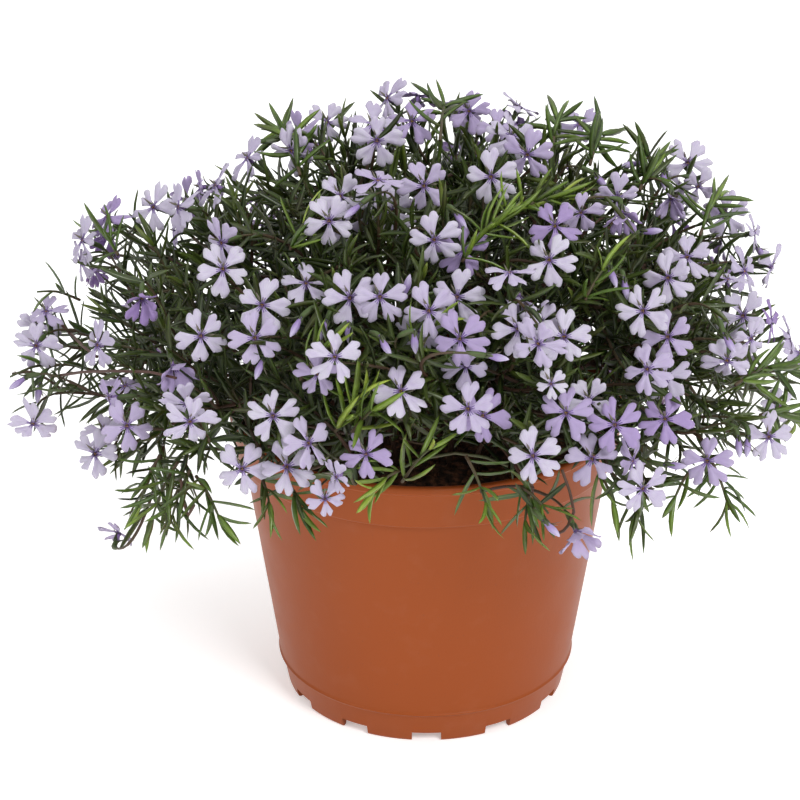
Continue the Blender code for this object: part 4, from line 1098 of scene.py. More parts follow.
def sweep(name, paths, sides):
    """Round skins along paths, each a list of points, radii and tints."""
    vertices, faces, tints, blade = [], [], [], []
    spokes = np.arange(sides) * math.tau / sides
    for points, radii, shades in paths:
        points = np.asarray(points)
        slopes = np.gradient(points, axis=0)
        slopes /= np.linalg.norm(slopes, axis=1)[:, None]
        side = unit(np.cross(slopes[0], np.array((0.31, 0.22, 0.93))))
        first = len(vertices)
        for k, (point, slope, radius) in enumerate(zip(points, slopes, radii)):
            side = unit(side - side.dot(slope) * slope)
            other = np.cross(slope, side)
            ring = point + radius * (np.cos(spokes)[:, None] * side + np.sin(spokes)[:, None] * other)
            vertices.extend(ring.tolist())
            tints.extend([shades[k]] * sides)
            blade.extend((math.cos(2 * angle), k * 0.35, 0.0) for angle in spokes)
        last = len(vertices)
        faces += ring_faces(first, len(points), sides)
        faces += [tuple(reversed(range(first, first + sides))), tuple(range(last - sides, last))]
    return add_mesh(name, vertices, faces, blade, tints)


class Garden:
    """Every stem, leaf and bloom, gathered along the plan before it is made into meshes."""

    def __init__(self, settings):
        self.settings = settings
        self.draw = random.Random(settings.seed)
        self.sprays = grow_plan()
        self.shoots = [shoot for spray in self.sprays for shoot in spray.shoots]
        self.stems, self.stalks = [], []
        self.leaves = {name: Sprinkle() for name in LEAF_GROUPS}
        self.teeth, self.blooms, self.nodding, self.buds = (Sprinkle() for _ in range(4))
        petals = [bead for shoot in self.shoots if not shoot.head.bud for bead in shoot.head.beads()]
        self.petals = kdtree.KDTree(len(petals))
        for index, bead in enumerate(petals):
            self.petals.insert(bead, index)
        self.petals.balance()
        self.grow_stems()
        for shoot in self.shoots:
            self.grow_stalk(shoot)
        self.grow_fillers()
        for sprig in SPRIGS:
            self.grow_sprig(Sprig(*sprig))
        for pixels, back, tint in LONG_STEMS:
            points = spaced([on_mound(sight_line(*pixel), back) for pixel in pixels], 0.003)
            self.stalks.append((points, [BARE_STEM_RADIUS] * len(points), [tint] * len(points)))

    def grow_stems(self):
        for spray in self.sprays:
            levels = np.linspace(0, 1, 26)
            points = bezier(spray.controls, levels)
            self.stems.append((points, MAIN_STEM_RADIUS - MAIN_STEM_TAPER * levels, 0.05 + 0.35 * levels))
            points = spaced(points[7:], 0.001)
            self.grow_leaves("leaves_on_stems", points)

    def grow_stalk(self, shoot):
        """The stalk, calyx and head of one side shoot, with the leaf pairs below the calyx."""
        head = shoot.head
        path = list(bezier(shoot.controls, np.linspace(0, 1, 18)))
        if not head.bud:
            path.append(head.root())
        points = spaced(path, STALK_STEP)[::-1]
        apart = np.arange(len(points)) * STALK_STEP
        mouth = 0.0 if head.bud else CALYX_MOUTH
        share = np.clip((apart - mouth) / CALYX_LENGTH, 0, 1)
        swell = np.interp(share, (0, 0.25, 0.7, 1), (0.85, 1.0, 0.95, 0.45))
        calyx = (apart >= mouth) & (apart <= mouth + CALYX_LENGTH)
        radii = np.where(calyx, CALYX_RADIUS * swell, STALK_RADIUS + 0.0002 * (apart > 0.02))
        radii = np.where(apart < mouth, TUBE_RADIUS, radii)
        tints = np.where(calyx, 0.82, np.where(apart < mouth, 1.0, 0.56 - 0.2 * np.clip(apart / 0.04, 0, 1)))
        self.stalks.append((points, radii, tints))
        facing = head.facing
        at = points[np.searchsorted(apart, mouth)]
        side = unit(np.cross(facing, (0.3, 0.8, 0.52)))
        for k in range(5):
            ray = spin_about(side, facing, k * math.tau / 5)
            length = self.draw.uniform(*TOOTH_LENGTHS)
            self.teeth.add(at + CALYX_RADIUS * 0.75 * ray, facing + 0.30 * ray, -ray,
                           (length, 0.55, 0.8), self.draw.uniform(0.70, 0.90), k % 4)
        tint = self.draw.random()
        if head.bud:
            self.buds.add(head.root() - 0.0006 * facing, side, facing, (1.0, 1.0, 1.0), tint,
                          self.draw.randrange(BUD_KINDS))
        else:
            size = head.size * self.draw.uniform(0.98, 1.04)
            nods = facing[2] < -0.36 or (facing[2] < -0.25 and tint > 0.6)
            group, kinds = (self.nodding, NODDING_BLOOMS) if nods else (self.blooms, OPEN_BLOOMS)
            group.add(head.place, head.petal, facing, (size, size, size), violet_and_shade(head, tint, nods),
                      self.draw.randrange(kinds))
        below = points[int((mouth + CALYX_LENGTH + 0.001) / STALK_STEP):][::-1]
        if len(below) > 6:
            self.grow_leaves("leaves_on_shoots", below)

    def grow_leaves(self, group, points, tuft=False, brighter=0.0):
        """Opposite pairs of leaves up a stem, each pair a quarter turn from the last."""
        draw = self.draw
        start, tint, smallest, largest = LEAF_GROUPS[group]
        tint += brighter
        step = np.linalg.norm(points[1] - points[0])
        gap = max(1, round(self.settings.leaf_spacing / step))
        turn = draw.uniform(0, math.tau)
        count = len(points)
        for index in range(int(start * count), max(count - 1, 1), gap):
            along = unit(points[min(index + 1, count - 1)] - points[max(index - 1, 0)])
            side = unit(np.cross(along, (0.24, 0.35, 0.9)))
            near_tip = max(0.0, 1 - (count - 1 - index) * step / TUFT_LENGTH) if tuft else 0.0
            for half in (0, 1, 0.5) if tuft else (0, 1):
                ray = spin_about(side, along, turn + half * math.pi + draw.gauss(0, 0.2))
                lean = draw.uniform(*LEAF_LEAN) + 1.7 * near_tip
                way = unit(ray + lean * along + np.array((0, 0, LEAF_RISE)) + scatter(draw, LEAF_SWAY))
                size = draw.uniform(smallest, largest) * (1 - 0.30 * near_tip) * self.settings.leaf_scale
                self.add_leaf(group, points[index], way, along, size, tint + 0.35 * near_tip)
            turn += math.pi / 2

    def add_leaf(self, group, root, way, along, size, tint):
        """One leaf, unless it would stick out of the plant, hang too low or meet a petal or the pot."""
        tip = root + way * LEAF_SIZE * size
        if any(abs(part) > most for part, most in zip(tip, LEAF_REACH)):
            return
        across, down = on_picture(tip)
        hangs = group == "leaves_young" and down > YOUNG_HANG
        if not hangs and (not allowed(tip) or down > np.interp(across, HEM_ACROSS, HEM_DOWN)):
            return
        for share in (0.3, 0.65, 1.0):
            bead = root + share * (tip - root)
            if not clear_of_pot(bead, POT_MARGIN) or self.petals.find(bead)[2] < PETAL_MARGIN:
                return
        shade = min(max(tint + self.draw.gauss(0, 0.12), 0.0), 1.0)
        width = self.draw.uniform(0.8, 1.15)
        self.leaves[group].add(root, way, along, (size, width, 1.0), shade,
                               self.draw.randrange(len(LEAF_BENDS)))

    def grow_fillers(self):
        """Leafy shoots without a bloom, as evenly over the cushion as the blooms."""
        stems = np.vstack([bezier(spray.controls, np.linspace(0.25, 1.0, 16)) for spray in self.sprays])
        total = self.settings.fillers
        for k in range(total):
            direction = even_direction(k, total, LOWEST_FILLER, 1.1)
            inside = k % 4 == 0
            if direction[2] < 0.2 and k % 2:
                continue
            reach = self.draw.uniform(*(INNER_REACH if inside else OUTER_REACH))
            tip = MOUND_CENTRE + MOUND_RADII * direction * reach
            if not allowed(tip):
                continue
            apart = np.linalg.norm(stems - tip, axis=1)
            root = stems[np.abs(apart - FILLER_LENGTH).argmin()]
            outward = unit(direction / MOUND_RADII)
            controls = (root, root + 0.4 * (tip - root) + scatter(self.draw, 0.004),
                        tip - 0.016 * unit(outward + np.array((0, 0, 0.5))), tip)
            points = spaced(bezier(controls, np.linspace(0, 1, 16)), 0.001)
            if len(points) < 12 or not all(clear_of_pot(point, 0.002) for point in points):
                continue
            self.add_twig(points, 0.0008, 0.35, 0.22)
            self.grow_leaves("leaves_inside" if inside else "leaves_on_fillers", points, tuft=True)

    def add_twig(self, points, radius, tint, greening):
        """The stalk of a leafy shoot, thinner and greener towards its tip."""
        shares = np.linspace(0, 1, len(points))
        radii, tints = radius - TWIG_TAPER * shares, tint + greening * shares
        self.stalks.append((points[::3], radii[::3], tints[::3]))

    def grow_sprig(self, sprig):
        """A young or hanging shoot where the picture shows one."""
        base = on_mound(sight_line(sprig.x0, sprig.y0), sprig.back0)
        tip = on_mound(sight_line(sprig.x1, sprig.y1), sprig.back1)
        middle = (base + tip) / 2 + np.array((0, 0, 0.12 * np.linalg.norm(tip - base)))
        points = spaced(bezier((base, middle, middle, tip), np.linspace(0, 1, 14)), 0.001)
        self.add_twig(points, 0.0007, 0.45, 0.15)
        self.grow_leaves("leaves_young", points, tuft=True, brighter=0.6 * sprig.young)


def spaced(path, step):
    """Points at even steps along a path."""
    path = np.asarray(path)
    travelled = np.concatenate(([0.0], np.cumsum(np.linalg.norm(np.diff(path, axis=0), axis=1))))
    count = max(3, int(travelled[-1] / step) + 1)
    even = np.linspace(0, travelled[-1], count)
    return np.column_stack([np.interp(even, travelled, path[:, k]) for k in range(3)])


def violet_and_shade(head, chance, nods):
    """How violet a bloom is: most are pale and a few deepen at random; painted shade deepens the nodding
    ones and those turned away from the eye.
    """
    # painted shade: the further a bloom faces away from the eye, and if it nods, the deeper its violet
    turned = 0.25 * (1 - head.facing.dot(unit(EYE - head.place)))
    return min(1.0, turned + 0.25 * chance + 0.50 * chance ** 5 + 0.25 * nods)


GROWN = {}


def garden():
    """The one garden that all the pieces are made from."""
    if "garden" not in GROWN:
        GROWN["garden"] = Garden(bpy.context.scene.phlox)
    return GROWN["garden"]


class Shader:
    """A principled material built up from attribute and noise patterns."""

    def __init__(self, name, roughness, specular):
        self.material = bpy.data.materials.new(name)
        self.material.use_nodes = True
        self.tree = self.material.node_tree
        self.skin = self.tree.nodes["Principled BSDF"]
        self.set("Roughness", roughness)
        self.set("Specular IOR Level", specular)

    def set(self, key, value):
        self.put(self.skin.inputs[key], value)

    def node(self, kind, **values):
        node = self.tree.nodes.new(kind)
        for key, value in values.items():
            setattr(node, key, value)
        return node

    def put(self, socket, value):
        """Links a socket to another's output, or sets it to a number, colour or vector."""
        if isinstance(value, bpy.types.NodeSocket):
            self.tree.links.new(value, socket)
        elif isinstance(value, tuple) and len(value) == 3 and socket.type == "RGBA":
            socket.default_value = (*value, 1.0)
        else:
            socket.default_value = value

    def blade(self):
        """How far across and along its leaf or petal a point lies, and which part it is on."""
        parts = self.node("ShaderNodeSeparateXYZ")
        self.put(parts.inputs[0], self.node("ShaderNodeAttribute", attribute_name="blade").outputs["Vector"])
        return parts.outputs

    def tint(self):
        return self.node("ShaderNodeAttribute", attribute_name="tint").outputs["Fac"]

    def sum(self, kind, first, second=0.0, third=0.0):
        node = self.node("ShaderNodeMath", operation=kind)
        for socket, value in zip(node.inputs, (first, second, third)):
            self.put(socket, value)
        return node.outputs[0]

    def peak(self, value, middle, slope):
        """One at the middle value, less by the slope to either side."""
        apart = self.sum("ABSOLUTE", self.sum("SUBTRACT", value, middle))
        return self.sum("SUBTRACT", 1.0, self.sum("MULTIPLY", apart, slope))

    def noise(self, scale, detail=2.0, stretch=(1, 1, 1)):
        move = self.node("ShaderNodeMapping")
        self.put(move.inputs["Vector"], self.node("ShaderNodeTexCoord").outputs["Object"])
        self.put(move.inputs["Scale"], stretch)
        node = self.node("ShaderNodeTexNoise")
        for key, value in (("Vector", move.outputs[0]), ("Scale", scale), ("Detail", detail)):
            self.put(node.inputs[key], value)
        return node.outputs["Fac"]

    def ramp(self, value, *stops):
        node = self.node("ShaderNodeValToRGB")
        self.put(node.inputs[0], value)
        elements = node.color_ramp.elements
        while len(elements) < len(stops):
            elements.new(1.0)
        for element, (place, colour) in zip(elements, stops):
            element.position = place
            element.color = (*colour, 1.0) if isinstance(colour, tuple) else (colour, colour, colour, 1.0)
        return node.outputs["Color"]

    def mix(self, share, first, second):
        node = self.node("ShaderNodeMix", data_type="RGBA")
        for index, value in ((0, share), (6, first), (7, second)):
            self.put(node.inputs[index], value)
        return node.outputs[2]

    def tone(self, first, mask, amount, second):
        """The first colour, changed to the second where the mask is white, by the amount."""
        return self.mix(self.sum("MULTIPLY", mask, amount), first, second)

    def glow_through(self, weight, radius, scale):
        self.set("Subsurface Weight", weight)
        self.set("Subsurface Radius", radius)
        self.set("Subsurface Scale", scale)

    def bump(self, height, strength, distance):
        node = self.node("ShaderNodeBump")
        self.put(node.inputs["Height"], height)
        node.inputs["Strength"].default_value = strength
        node.inputs["Distance"].default_value = distance
        self.set("Normal", node.outputs[0])

    def done(self, colour):
        self.set("Base Color", colour)
        return self.material


def leaf_material(name, young):
    shader = Shader(name, 0.33, 0.45)
    side, along, _ = shader.blade()
    across = shader.sum("ABSOLUTE", side)
    patches = shader.sum("MULTIPLY_ADD", shader.noise(260.0), 0.36, -0.18)
    age = shader.sum("ADD", shader.sum("ADD", shader.tint(), patches), shader.sum("MULTIPLY", along, 0.10))
    if young:
        colour = shader.ramp(age, (0.0, (0.020, 0.040, 0.006)), (0.4, (0.065, 0.115, 0.014)),
                             (0.75, (0.160, 0.240, 0.026)), (1.0, (0.290, 0.370, 0.048)))
    else:
        colour = shader.ramp(age, (0.0, (0.009, 0.015, 0.003)), (0.35, (0.022, 0.036, 0.006)),
                             (0.70, (0.054, 0.078, 0.011)), (1.0, (0.125, 0.158, 0.022)))
    bronze = shader.ramp(shader.noise(55.0), (0.52, 0.0), (0.68, 1.0))
    colour = shader.tone(colour, bronze, 0.55, (0.042, 0.029, 0.011))
    # painted highlight: lighter green down the middle of each leaf, where its gloss would shine
    midrib_highlight = shader.ramp(across, (0.0, 1.0), (0.30, 0.0))
    colour = shader.tone(colour, midrib_highlight, 0.25, (0.13, 0.19, 0.04))
    edge = shader.ramp(across, (0.88, 0.0), (1.0, 1.0))
    colour = shader.tone(colour, edge, 0.20, (0.20, 0.22, 0.08))
    shader.glow_through(0.10, (0.4, 0.8, 0.1), 0.0008)
    shader.bump(shader.noise(2600.0), 0.25, 0.0002)
    return shader.done(colour)


def petal_material():
    shader = Shader("phlox_petals", 0.58, 0.25)
    side, along, part = shader.blade()
    across = shader.sum("ABSOLUTE", side)
    # the tint runs from pale lilac to deep violet; on nodding and turned-away blooms it carries painted
    # shade
    pale = shader.ramp(shader.tint(), (0.0, (0.490, 0.465, 0.545)), (0.35, (0.400, 0.355, 0.480)),
                       (0.70, (0.300, 0.230, 0.410)), (1.0, (0.210, 0.130, 0.320)))
    veins = shader.sum("SINE", shader.sum("MULTIPLY", side, 24.0))
    veins = shader.sum("MULTIPLY_ADD", veins, 0.5, shader.sum("MULTIPLY", shader.noise(900.0), 0.6))
    veins = shader.ramp(veins, (0.45, 0.0), (0.9, 1.0))
    flush = shader.ramp(shader.noise(160.0, 3.0), (0.48, 0.0), (0.72, 1.0))
    pale = shader.tone(pale, flush, 0.35, (0.31, 0.23, 0.42))
    colour = shader.tone(pale, veins, 0.20, (0.30, 0.21, 0.46))
    edge = shader.ramp(along, (0.0, 0.9), (0.30, 0.25), (0.8, 0.0))
    colour = shader.tone(colour, edge, 0.45, (0.36, 0.27, 0.50))
    dashes = shader.sum("MINIMUM", shader.peak(along, 0.13, 9.0), shader.peak(across, 0.42, 3.6))
    dashes = shader.ramp(dashes, (0.15, 0.0), (0.45, 1.0))
    colour = shader.tone(colour, dashes, 0.85, (0.085, 0.040, 0.200))
    eye = shader.ramp(along, (0.03, 1.0), (0.12, 0.0))
    colour = shader.tone(colour, eye, 0.8, (0.12, 0.07, 0.22))
    tube = shader.ramp(along, (0.0, (0.30, 0.20, 0.48)), (0.15, (0.28, 0.17, 0.42)),
                       (0.60, (0.05, 0.03, 0.08)), (1.0, (0.11, 0.06, 0.18)))
    colour = shader.mix(shader.ramp(part, (0.3, 0.0), (0.5, 1.0)), colour, tube)
    anthers = shader.ramp(shader.sum("MULTIPLY", part, 0.25), (0.40, 0.0), (0.45, 1.0))
    colour = shader.mix(anthers, colour, (0.42, 0.20, 0.04))
    shader.glow_through(0.18, (0.8, 0.6, 1.0), 0.0010)
    shader.set("Sheen Weight", 0.10)
    shader.bump(shader.noise(1500.0, 3.0), 0.18, 0.0002)
    return shader.done(colour)


def bud_material():
    shader = Shader("phlox_buds", 0.55, 0.3)
    fold, along, _ = shader.blade()
    colour = shader.ramp(along, (0.0, (0.14, 0.08, 0.26)), (0.5, (0.28, 0.19, 0.44)),
                         (1.0, (0.47, 0.42, 0.58)))
    # painted shade: darker violet in the hollows between the bud's twisted folds
    crease_shade = shader.ramp(shader.sum("MULTIPLY_ADD", fold, 0.5, 0.5), (0.0, 1.0), (0.4, 0.0))
    colour = shader.tone(colour, crease_shade, 0.45, (0.18, 0.10, 0.32))
    colour = shader.tone(colour, shader.noise(700.0), 0.20, (0.42, 0.42, 0.40))
    shader.bump(shader.noise(1500.0), 0.2, 0.0002)
    return shader.done(colour)


def stem_material():
    shader = Shader("phlox_stems", 0.55, 0.35)
    mottle = shader.sum("MULTIPLY_ADD", shader.noise(420.0), 0.20, -0.10)
    age = shader.sum("ADD", shader.tint(), mottle)
    colour = shader.ramp(age, (0.0, (0.060, 0.040, 0.026)), (0.30, (0.075, 0.032, 0.020)),
                         (0.48, (0.060, 0.042, 0.018)), (0.60, (0.045, 0.070, 0.018)),
                         (0.88, (0.060, 0.095, 0.026)), (0.97, (0.230, 0.150, 0.360)))
    rib = shader.ramp(shader.blade()[0], (0.2, 0.0), (0.9, 1.0))
    colour = shader.tone(colour, rib, 0.30, (0.08, 0.035, 0.045))
    shader.bump(shader.noise(1800.0, 3.0), 0.5, 0.0004)
    return shader.done(colour)


def calyx_material():
    shader = Shader("phlox_calyx", 0.5, 0.35)
    colour = shader.ramp(shader.blade()[1], (0.0, (0.050, 0.085, 0.024)), (0.6, (0.070, 0.100, 0.036)),
                         (1.0, (0.22, 0.18, 0.15)))
    colour = shader.tone(colour, shader.noise(500.0), 0.5, (0.075, 0.040, 0.050))
    shader.bump(shader.noise(1800.0), 0.4, 0.0003)
    return shader.done(colour)


def pot_material():
    shader = Shader("terracotta_plastic", 0.40, 0.14)
    broad = shader.noise(14.0, 3.0, (1, 1, 0.35))
    colour = shader.tone((0.285, 0.062, 0.012), broad, 0.6, (0.250, 0.054, 0.012))
    scuffs = shader.ramp(shader.noise(90.0, 4.0), (0.58, 0.0), (0.80, 1.0))
    colour = shader.tone(colour, scuffs, 0.14, (0.34, 0.12, 0.06))
    specks = shader.ramp(shader.noise(900.0, 2.0), (0.66, 0.0), (0.74, 1.0))
    colour = shader.tone(colour, specks, 0.20, (0.14, 0.05, 0.03))
    shader.set("Roughness", shader.sum("MULTIPLY_ADD", shader.noise(60.0, 3.0), 0.18, 0.32))
    shader.bump(shader.noise(1200.0, 2.0), 0.12, 0.0003)
    return shader.done(colour)


def soil_material(name, grain):
    shader = Shader(name, 0.92, 0.2)
    grain = shader.noise(grain, 5.0)
    colour = shader.ramp(grain, (0.30, (0.010, 0.006, 0.004)), (0.48, (0.036, 0.018, 0.011)),
                         (0.60, (0.110, 0.044, 0.022)), (0.78, (0.230, 0.110, 0.060)))
    shader.bump(shader.noise(900.0, 5.0), 0.9, 0.0012)
    return shader.done(colour)


def finish_piece(item, slot, *nodes):
    """Hands a finished piece to the frame and hides the plain nodes that it stands for."""
    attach(item, "root")
    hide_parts(*nodes)
    for name in nodes:
        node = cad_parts[name]
        node.hide_render = node.hide_viewport = True


def finish_foliage(item):
    finish_piece(item, "foliage", *(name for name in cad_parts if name.startswith("spray_")))


def turned(name, profile, sides):
    """A solid of revolution whose profile runs from the axis round to the axis again."""
    vertices, faces, rings = [], [], []
    for radius, height in profile:
        if radius == 0.0:
            rings.append([len(vertices)] * sides)
            vertices.append((0.0, 0.0, height))
            continue
        rings.append([len(vertices) + k for k in range(sides)])
        vertices += ring_points(radius, height, sides)
    for lower, upper in zip(rings, rings[1:]):
        for k in range(sides):
            ring = [lower[k], lower[(k + 1) % sides], upper[(k + 1) % sides], upper[k]]
            ring = list(dict.fromkeys(ring))
            if len(ring) > 2:
                faces.append(tuple(ring))
    item = add_mesh(name, vertices, faces)
    bm = bmesh.new()
    bm.from_mesh(item.data)
    bmesh.ops.recalc_face_normals(bm, faces=list(bm.faces))
    bm.to_mesh(item.data)
    bm.free()
    return item


def rounded(profile, radius, steps=4):
    """The profile with its inner corners cut to small arcs."""
    smoothed = [profile[0]]
    for before, corner, after in zip(profile, profile[1:], profile[2:]):
        corner = np.array(corner)
        to_before, to_after = np.array(before) - corner, np.array(after) - corner
        reach = min(radius, 0.45 * np.linalg.norm(to_before), 0.45 * np.linalg.norm(to_after))
        start, end = corner + reach * unit(to_before), corner + reach * unit(to_after)
        for t in np.linspace(0, 1, steps):
            smoothed.append(tuple((1 - t) ** 2 * start + 2 * t * (1 - t) * corner + t * t * end))
    return smoothed + [profile[-1]]


class PHLOX_OT_pot(bpy.types.Operator):
    """Turns the finely rounded pot with its foot notches and drain holes"""
    bl_idname = "phlox.pot"
    bl_label = "Turn the pot"

    def execute(self, context):
        pot = turned("pot_turned", rounded(pot_profile(), CORNER_RADIUS), POT_SIDES)
        tools = bmesh.new()
        for k in range(NOTCHES):
            around = -math.pi / 2 + k * math.tau / NOTCHES
            place = (Matrix.Rotation(around, 4, "Z") @ Matrix.Translation((FOOT_RADIUS, 0, 0))
                     @ Matrix.Diagonal((NOTCH_DEPTH, NOTCH_WIDTH, 2 * NOTCH_HEIGHT, 1)))
            bmesh.ops.create_cube(tools, size=1.0, matrix=place)
        for k in range(DRAIN_HOLES):
            around = (k + 0.5) * math.tau / DRAIN_HOLES
            place = Matrix.Translation((DRAIN_CIRCLE * math.cos(around), DRAIN_CIRCLE * math.sin(around),
                                        PLATE_UNDERSIDE + WALL / 2))
            bmesh.ops.create_cone(tools, cap_ends=True, segments=28, radius1=DRAIN_RADIUS,
                                  radius2=DRAIN_RADIUS, depth=3 * WALL, matrix=place)
        tool = from_bmesh("pot_tools", tools)
        boolean = pot.modifiers.new("cut", "BOOLEAN")
        boolean.operation, boolean.solver, boolean.object = "DIFFERENCE", "EXACT", tool
        pot_mesh = evaluated_mesh(pot)
        pot.modifiers.clear()
        pot.data = pot_mesh
        bpy.data.objects.remove(tool)
        pot_mesh.shade_smooth()
        pot_mesh.set_sharp_from_angle(angle=math.radians(38))
        pot_mesh.materials.clear()
        pot_mesh.materials.append(pot_material())
        finish_piece(pot, "pot", "pot")
        return {"FINISHED"}


def fine_height(x, y):
    """The height of the soil, with its clods and crumbs."""
    place = Vector((x, y, 0.3))
    clods = noise.noise(place * 140) * 0.0011 + noise.noise(place * 420) * 0.0006
    return soil_height(x, y) + clods


class PHLOX_OT_soil(bpy.types.Operator):
    """Lays the crumbly soil and strews loose crumbs on it"""
    bl_idname = "phlox.soil"
    bl_label = "Lay the soil"

    def execute(self, context):
        edge = WALL_TOP_RADIUS + COLLAR_STEP - WALL - 2 * GAP
        profile = [(edge * k / SOIL_RINGS, SOIL_LEVEL) for k in range(SOIL_RINGS + 1)]
        profile += [(edge, NECK_HEIGHT + 0.0030), (soil_side(NECK_HEIGHT) - GAP, NECK_HEIGHT - 0.0004),
                    (soil_side(PLATE_TOP), PLATE_TOP + GAP), (0.0, PLATE_TOP + GAP)]
        soil = turned("soil_bed", profile, SOIL_SIDES)
        for vertex in soil.data.vertices:
            if vertex.co.z > SOIL_LEVEL - GAP:
                vertex.co.z = fine_height(vertex.co.x, vertex.co.y)
        soil.data.shade_smooth()
        soil.data.materials.append(soil_material("potting_soil", 300.0))
        finish_piece(soil, "soil", "soil")
        draw = random.Random(context.scene.phlox.seed)
        crumbs = Sprinkle()
        for _ in range(CRUMBS):
            reach = edge * 0.97 * math.sqrt(draw.random())
            around = draw.uniform(0, math.tau)
            x, y = reach * math.cos(around), reach * math.sin(around)
            size = draw.uniform(0.5, 1.7) * (1 + (draw.random() > 0.93))
            place = (x, y, fine_height(x, y) + 0.0003)
            first, third = scatter(draw), scatter(draw)
            crumbs.add(place, first, third, (size, size * draw.uniform(0.6, 1), size * 0.8), draw.random(),
                       draw.randrange(CRUMB_SHAPES))
        item = repeat(crumbs, "soil_crumbs", [crumb_shape(k) for k in range(CRUMB_SHAPES)],
                      soil_material("soil_crumb", 520.0))
        finish_piece(item, "soil", "soil")
        return {"FINISHED"}


def crumb_shape(seed):
    """A rough crumb about 2 mm across."""
    bm = bmesh.new()
    bmesh.ops.create_icosphere(bm, subdivisions=2, radius=CRUMB_RADIUS)
    for vertex in bm.verts:
        vertex.co *= 1 + 0.45 * noise.noise(vertex.co * 900 + Vector((seed * 5, 0, 0)))
    return from_bmesh(f"crumb_{seed}", bm)


class PHLOX_OT_stems(bpy.types.Operator):
    """Sweeps the main stems, the side shoots and the calyxes"""
    bl_idname = "phlox.stems"
    bl_label = "Grow the stems"

    def execute(self, context):
        grown = garden()
        skin = stem_material()
        for name, paths, sides in (("stems_main", grown.stems, 10), ("stalks", grown.stalks, 6)):
            item = sweep(name, paths, sides)
            item.data.materials.append(skin)
            finish_foliage(item)
        finish_foliage(repeat(grown.teeth, "calyx_teeth", leaf_shapes(), calyx_material()))
        return {"FINISHED"}


def leaf_shapes():
    return [leaf_shape(f"leaf_{k}", bend, swerve) for k, (bend, swerve) in enumerate(LEAF_BENDS)]


class PHLOX_OT_leaves(bpy.types.Operator):
    """Puts the needle-like leaves in pairs along every stem and shoot"""
    bl_idname = "phlox.leaves"
    bl_label = "Grow the leaves"

    def execute(self, context):
        settings = context.scene.phlox
        grown = garden()
        old, young = leaf_material("phlox_leaves", False), leaf_material("phlox_young_leaves", True)
        for number, (name, sprinkle) in enumerate(grown.leaves.items()):
            skin = young if name == "leaves_young" else old
            seed = settings.seed + number
            finish_foliage(repeat(sprinkle, name, leaf_shapes(), skin, 1.0, settings.spread, seed))
        return {"FINISHED"}


class PHLOX_OT_blooms(bpy.types.Operator):
    """Opens the blooms and sets the furled buds"""
    bl_idname = "phlox.blooms"
    bl_label = "Open the blooms"

    def execute(self, context):
        grown = garden()
        skin = petal_material()
        for name, group, kinds in (("blooms_open", grown.blooms, OPEN_BLOOMS),
                                   ("blooms_nodding", grown.nodding, NODDING_BLOOMS)):
            shapes = [bloom_shape(f"{name}_{k}", 11 + k, group is grown.nodding) for k in range(kinds)]
            finish_foliage(repeat(group, name, shapes, skin))
        shapes = [bud_shape(f"bud_{k}", 1.5 + 0.4 * k) for k in range(BUD_KINDS)]
        finish_foliage(repeat(grown.buds, "buds", shapes, bud_material()))
        return {"FINISHED"}


def aim_object(item, place, target):
    """Sets a lamp or camera down at a place, looking at a target."""
    item.location = place
    item.rotation_euler = (Vector(target) - Vector(place)).to_track_quat("-Z", "Y").to_euler()
    return item


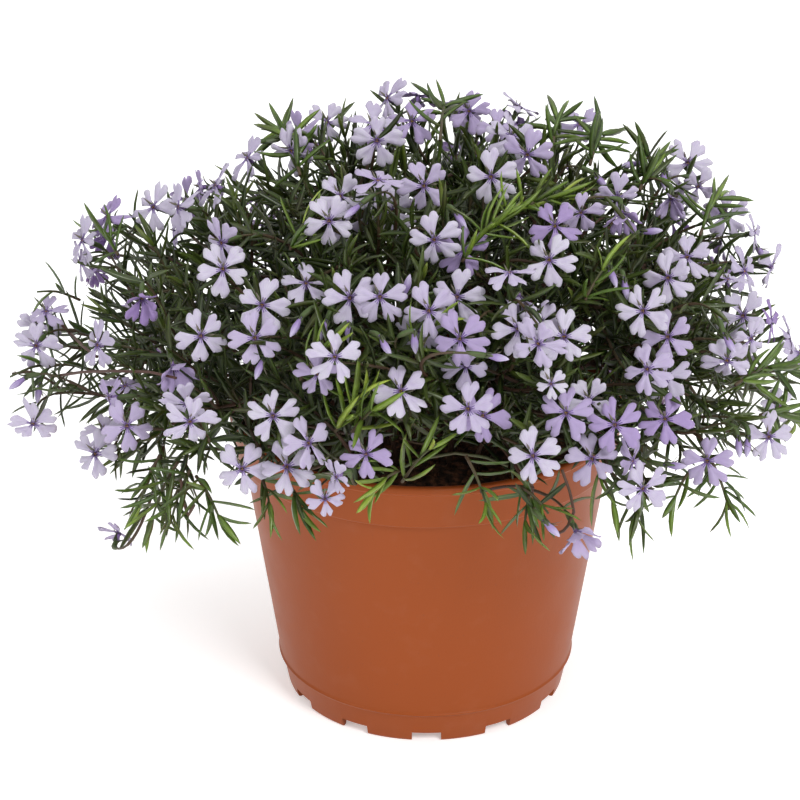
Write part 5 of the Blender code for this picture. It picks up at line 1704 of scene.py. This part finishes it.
class PHLOX_OT_stage(bpy.types.Operator):
    """Lays the pale floor, hangs the soft lights and sets the camera where the picture was taken"""
    bl_idname = "phlox.stage"
    bl_label = "Set the stage"

    def execute(self, context):
        scene, settings = context.scene, context.scene.phlox_stage
        corners = [(x * FLOOR_REACH, y * FLOOR_REACH, 0) for x, y in ((-1, -1), (1, -1), (1, 1), (-1, 1))]
        floor = add_mesh("floor", corners, [(0, 1, 2, 3)])
        paint = Shader("floor_white", 0.9, 0.1)
        paint.set("Emission Color", (1.0, 1.0, 1.0))
        paint.set("Emission Strength", FLOOR_GLOW)
        floor.data.materials.append(paint.done(WHITE))
        world = bpy.data.worlds.new("white_studio")
        world.use_nodes = True
        nodes, link = world.node_tree.nodes, world.node_tree.links.new
        sky = nodes["Background"]
        sky.inputs["Color"].default_value = (1.0, 1.0, 1.0, 1.0)
        aim, parts, ahead = (nodes.new(kind) for kind in (
            "ShaderNodeTexCoord", "ShaderNodeSeparateXYZ", "ShaderNodeMapRange"))
        link(aim.outputs["Generated"], parts.inputs[0])
        link(parts.outputs["Y"], ahead.inputs["Value"])
        for key, value in (("From Min", -0.4), ("From Max", 0.7), ("To Min", 0.45 * settings.sky),
                           ("To Max", settings.sky)):
            ahead.inputs[key].default_value = value
        link(ahead.outputs[0], sky.inputs["Strength"])
        scene.world = world
        scene.view_settings.view_transform = "Standard"
        for name, place, size in LAMPS:
            lamp = bpy.data.lights.new(name, "AREA")
            lamp.shape, lamp.size = "DISK", size
            lamp.energy = settings.key_power if name == "key" else settings.fill_power
            aim_object(add_object(name, lamp), place, LAMP_TARGET)
        camera = bpy.data.cameras.new("camera")
        camera.lens = FOCAL_PIXELS * camera.sensor_width / (2 * MIDDLE_PIXEL)
        camera.clip_start = 0.05
        scene.camera = aim_object(add_object("camera", camera), EYE, EYE_AIM)
        return {"FINISHED"}


class PHLOX_PT_panel(bpy.types.Panel):
    """Buttons and settings in the sidebar"""
    bl_label = "Creeping phlox"
    bl_idname = "PHLOX_PT_panel"
    bl_space_type = "VIEW_3D"
    bl_region_type = "UI"
    bl_category = "Phlox"

    def draw(self, context):
        for name in ("leaf_scale", "leaf_spacing", "fillers", "spread", "seed"):
            self.layout.prop(context.scene.phlox, name)
        for name in ("key_power", "fill_power", "sky"):
            self.layout.prop(context.scene.phlox_stage, name)
        for operator in OPERATORS:
            self.layout.operator(operator.bl_idname)


OPERATORS = (PHLOX_OT_pot, PHLOX_OT_soil, PHLOX_OT_stems, PHLOX_OT_leaves, PHLOX_OT_blooms, PHLOX_OT_stage)
CLASSES = (PhloxSettings, StageSettings, *OPERATORS, PHLOX_PT_panel)


def register():
    for item in CLASSES:
        bpy.utils.register_class(item)
    bpy.types.Scene.phlox = PointerProperty(type=PhloxSettings)
    bpy.types.Scene.phlox_stage = PointerProperty(type=StageSettings)


def unregister():
    del bpy.types.Scene.phlox
    del bpy.types.Scene.phlox_stage
    for item in reversed(CLASSES):
        bpy.utils.unregister_class(item)


def main():
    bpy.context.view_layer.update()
    register()
    bpy.ops.phlox.pot()
    bpy.ops.phlox.soil()
    bpy.ops.phlox.stems()
    bpy.ops.phlox.leaves()
    bpy.ops.phlox.blooms()
    bpy.ops.phlox.stage()


if __name__ == "__main__":
    main()
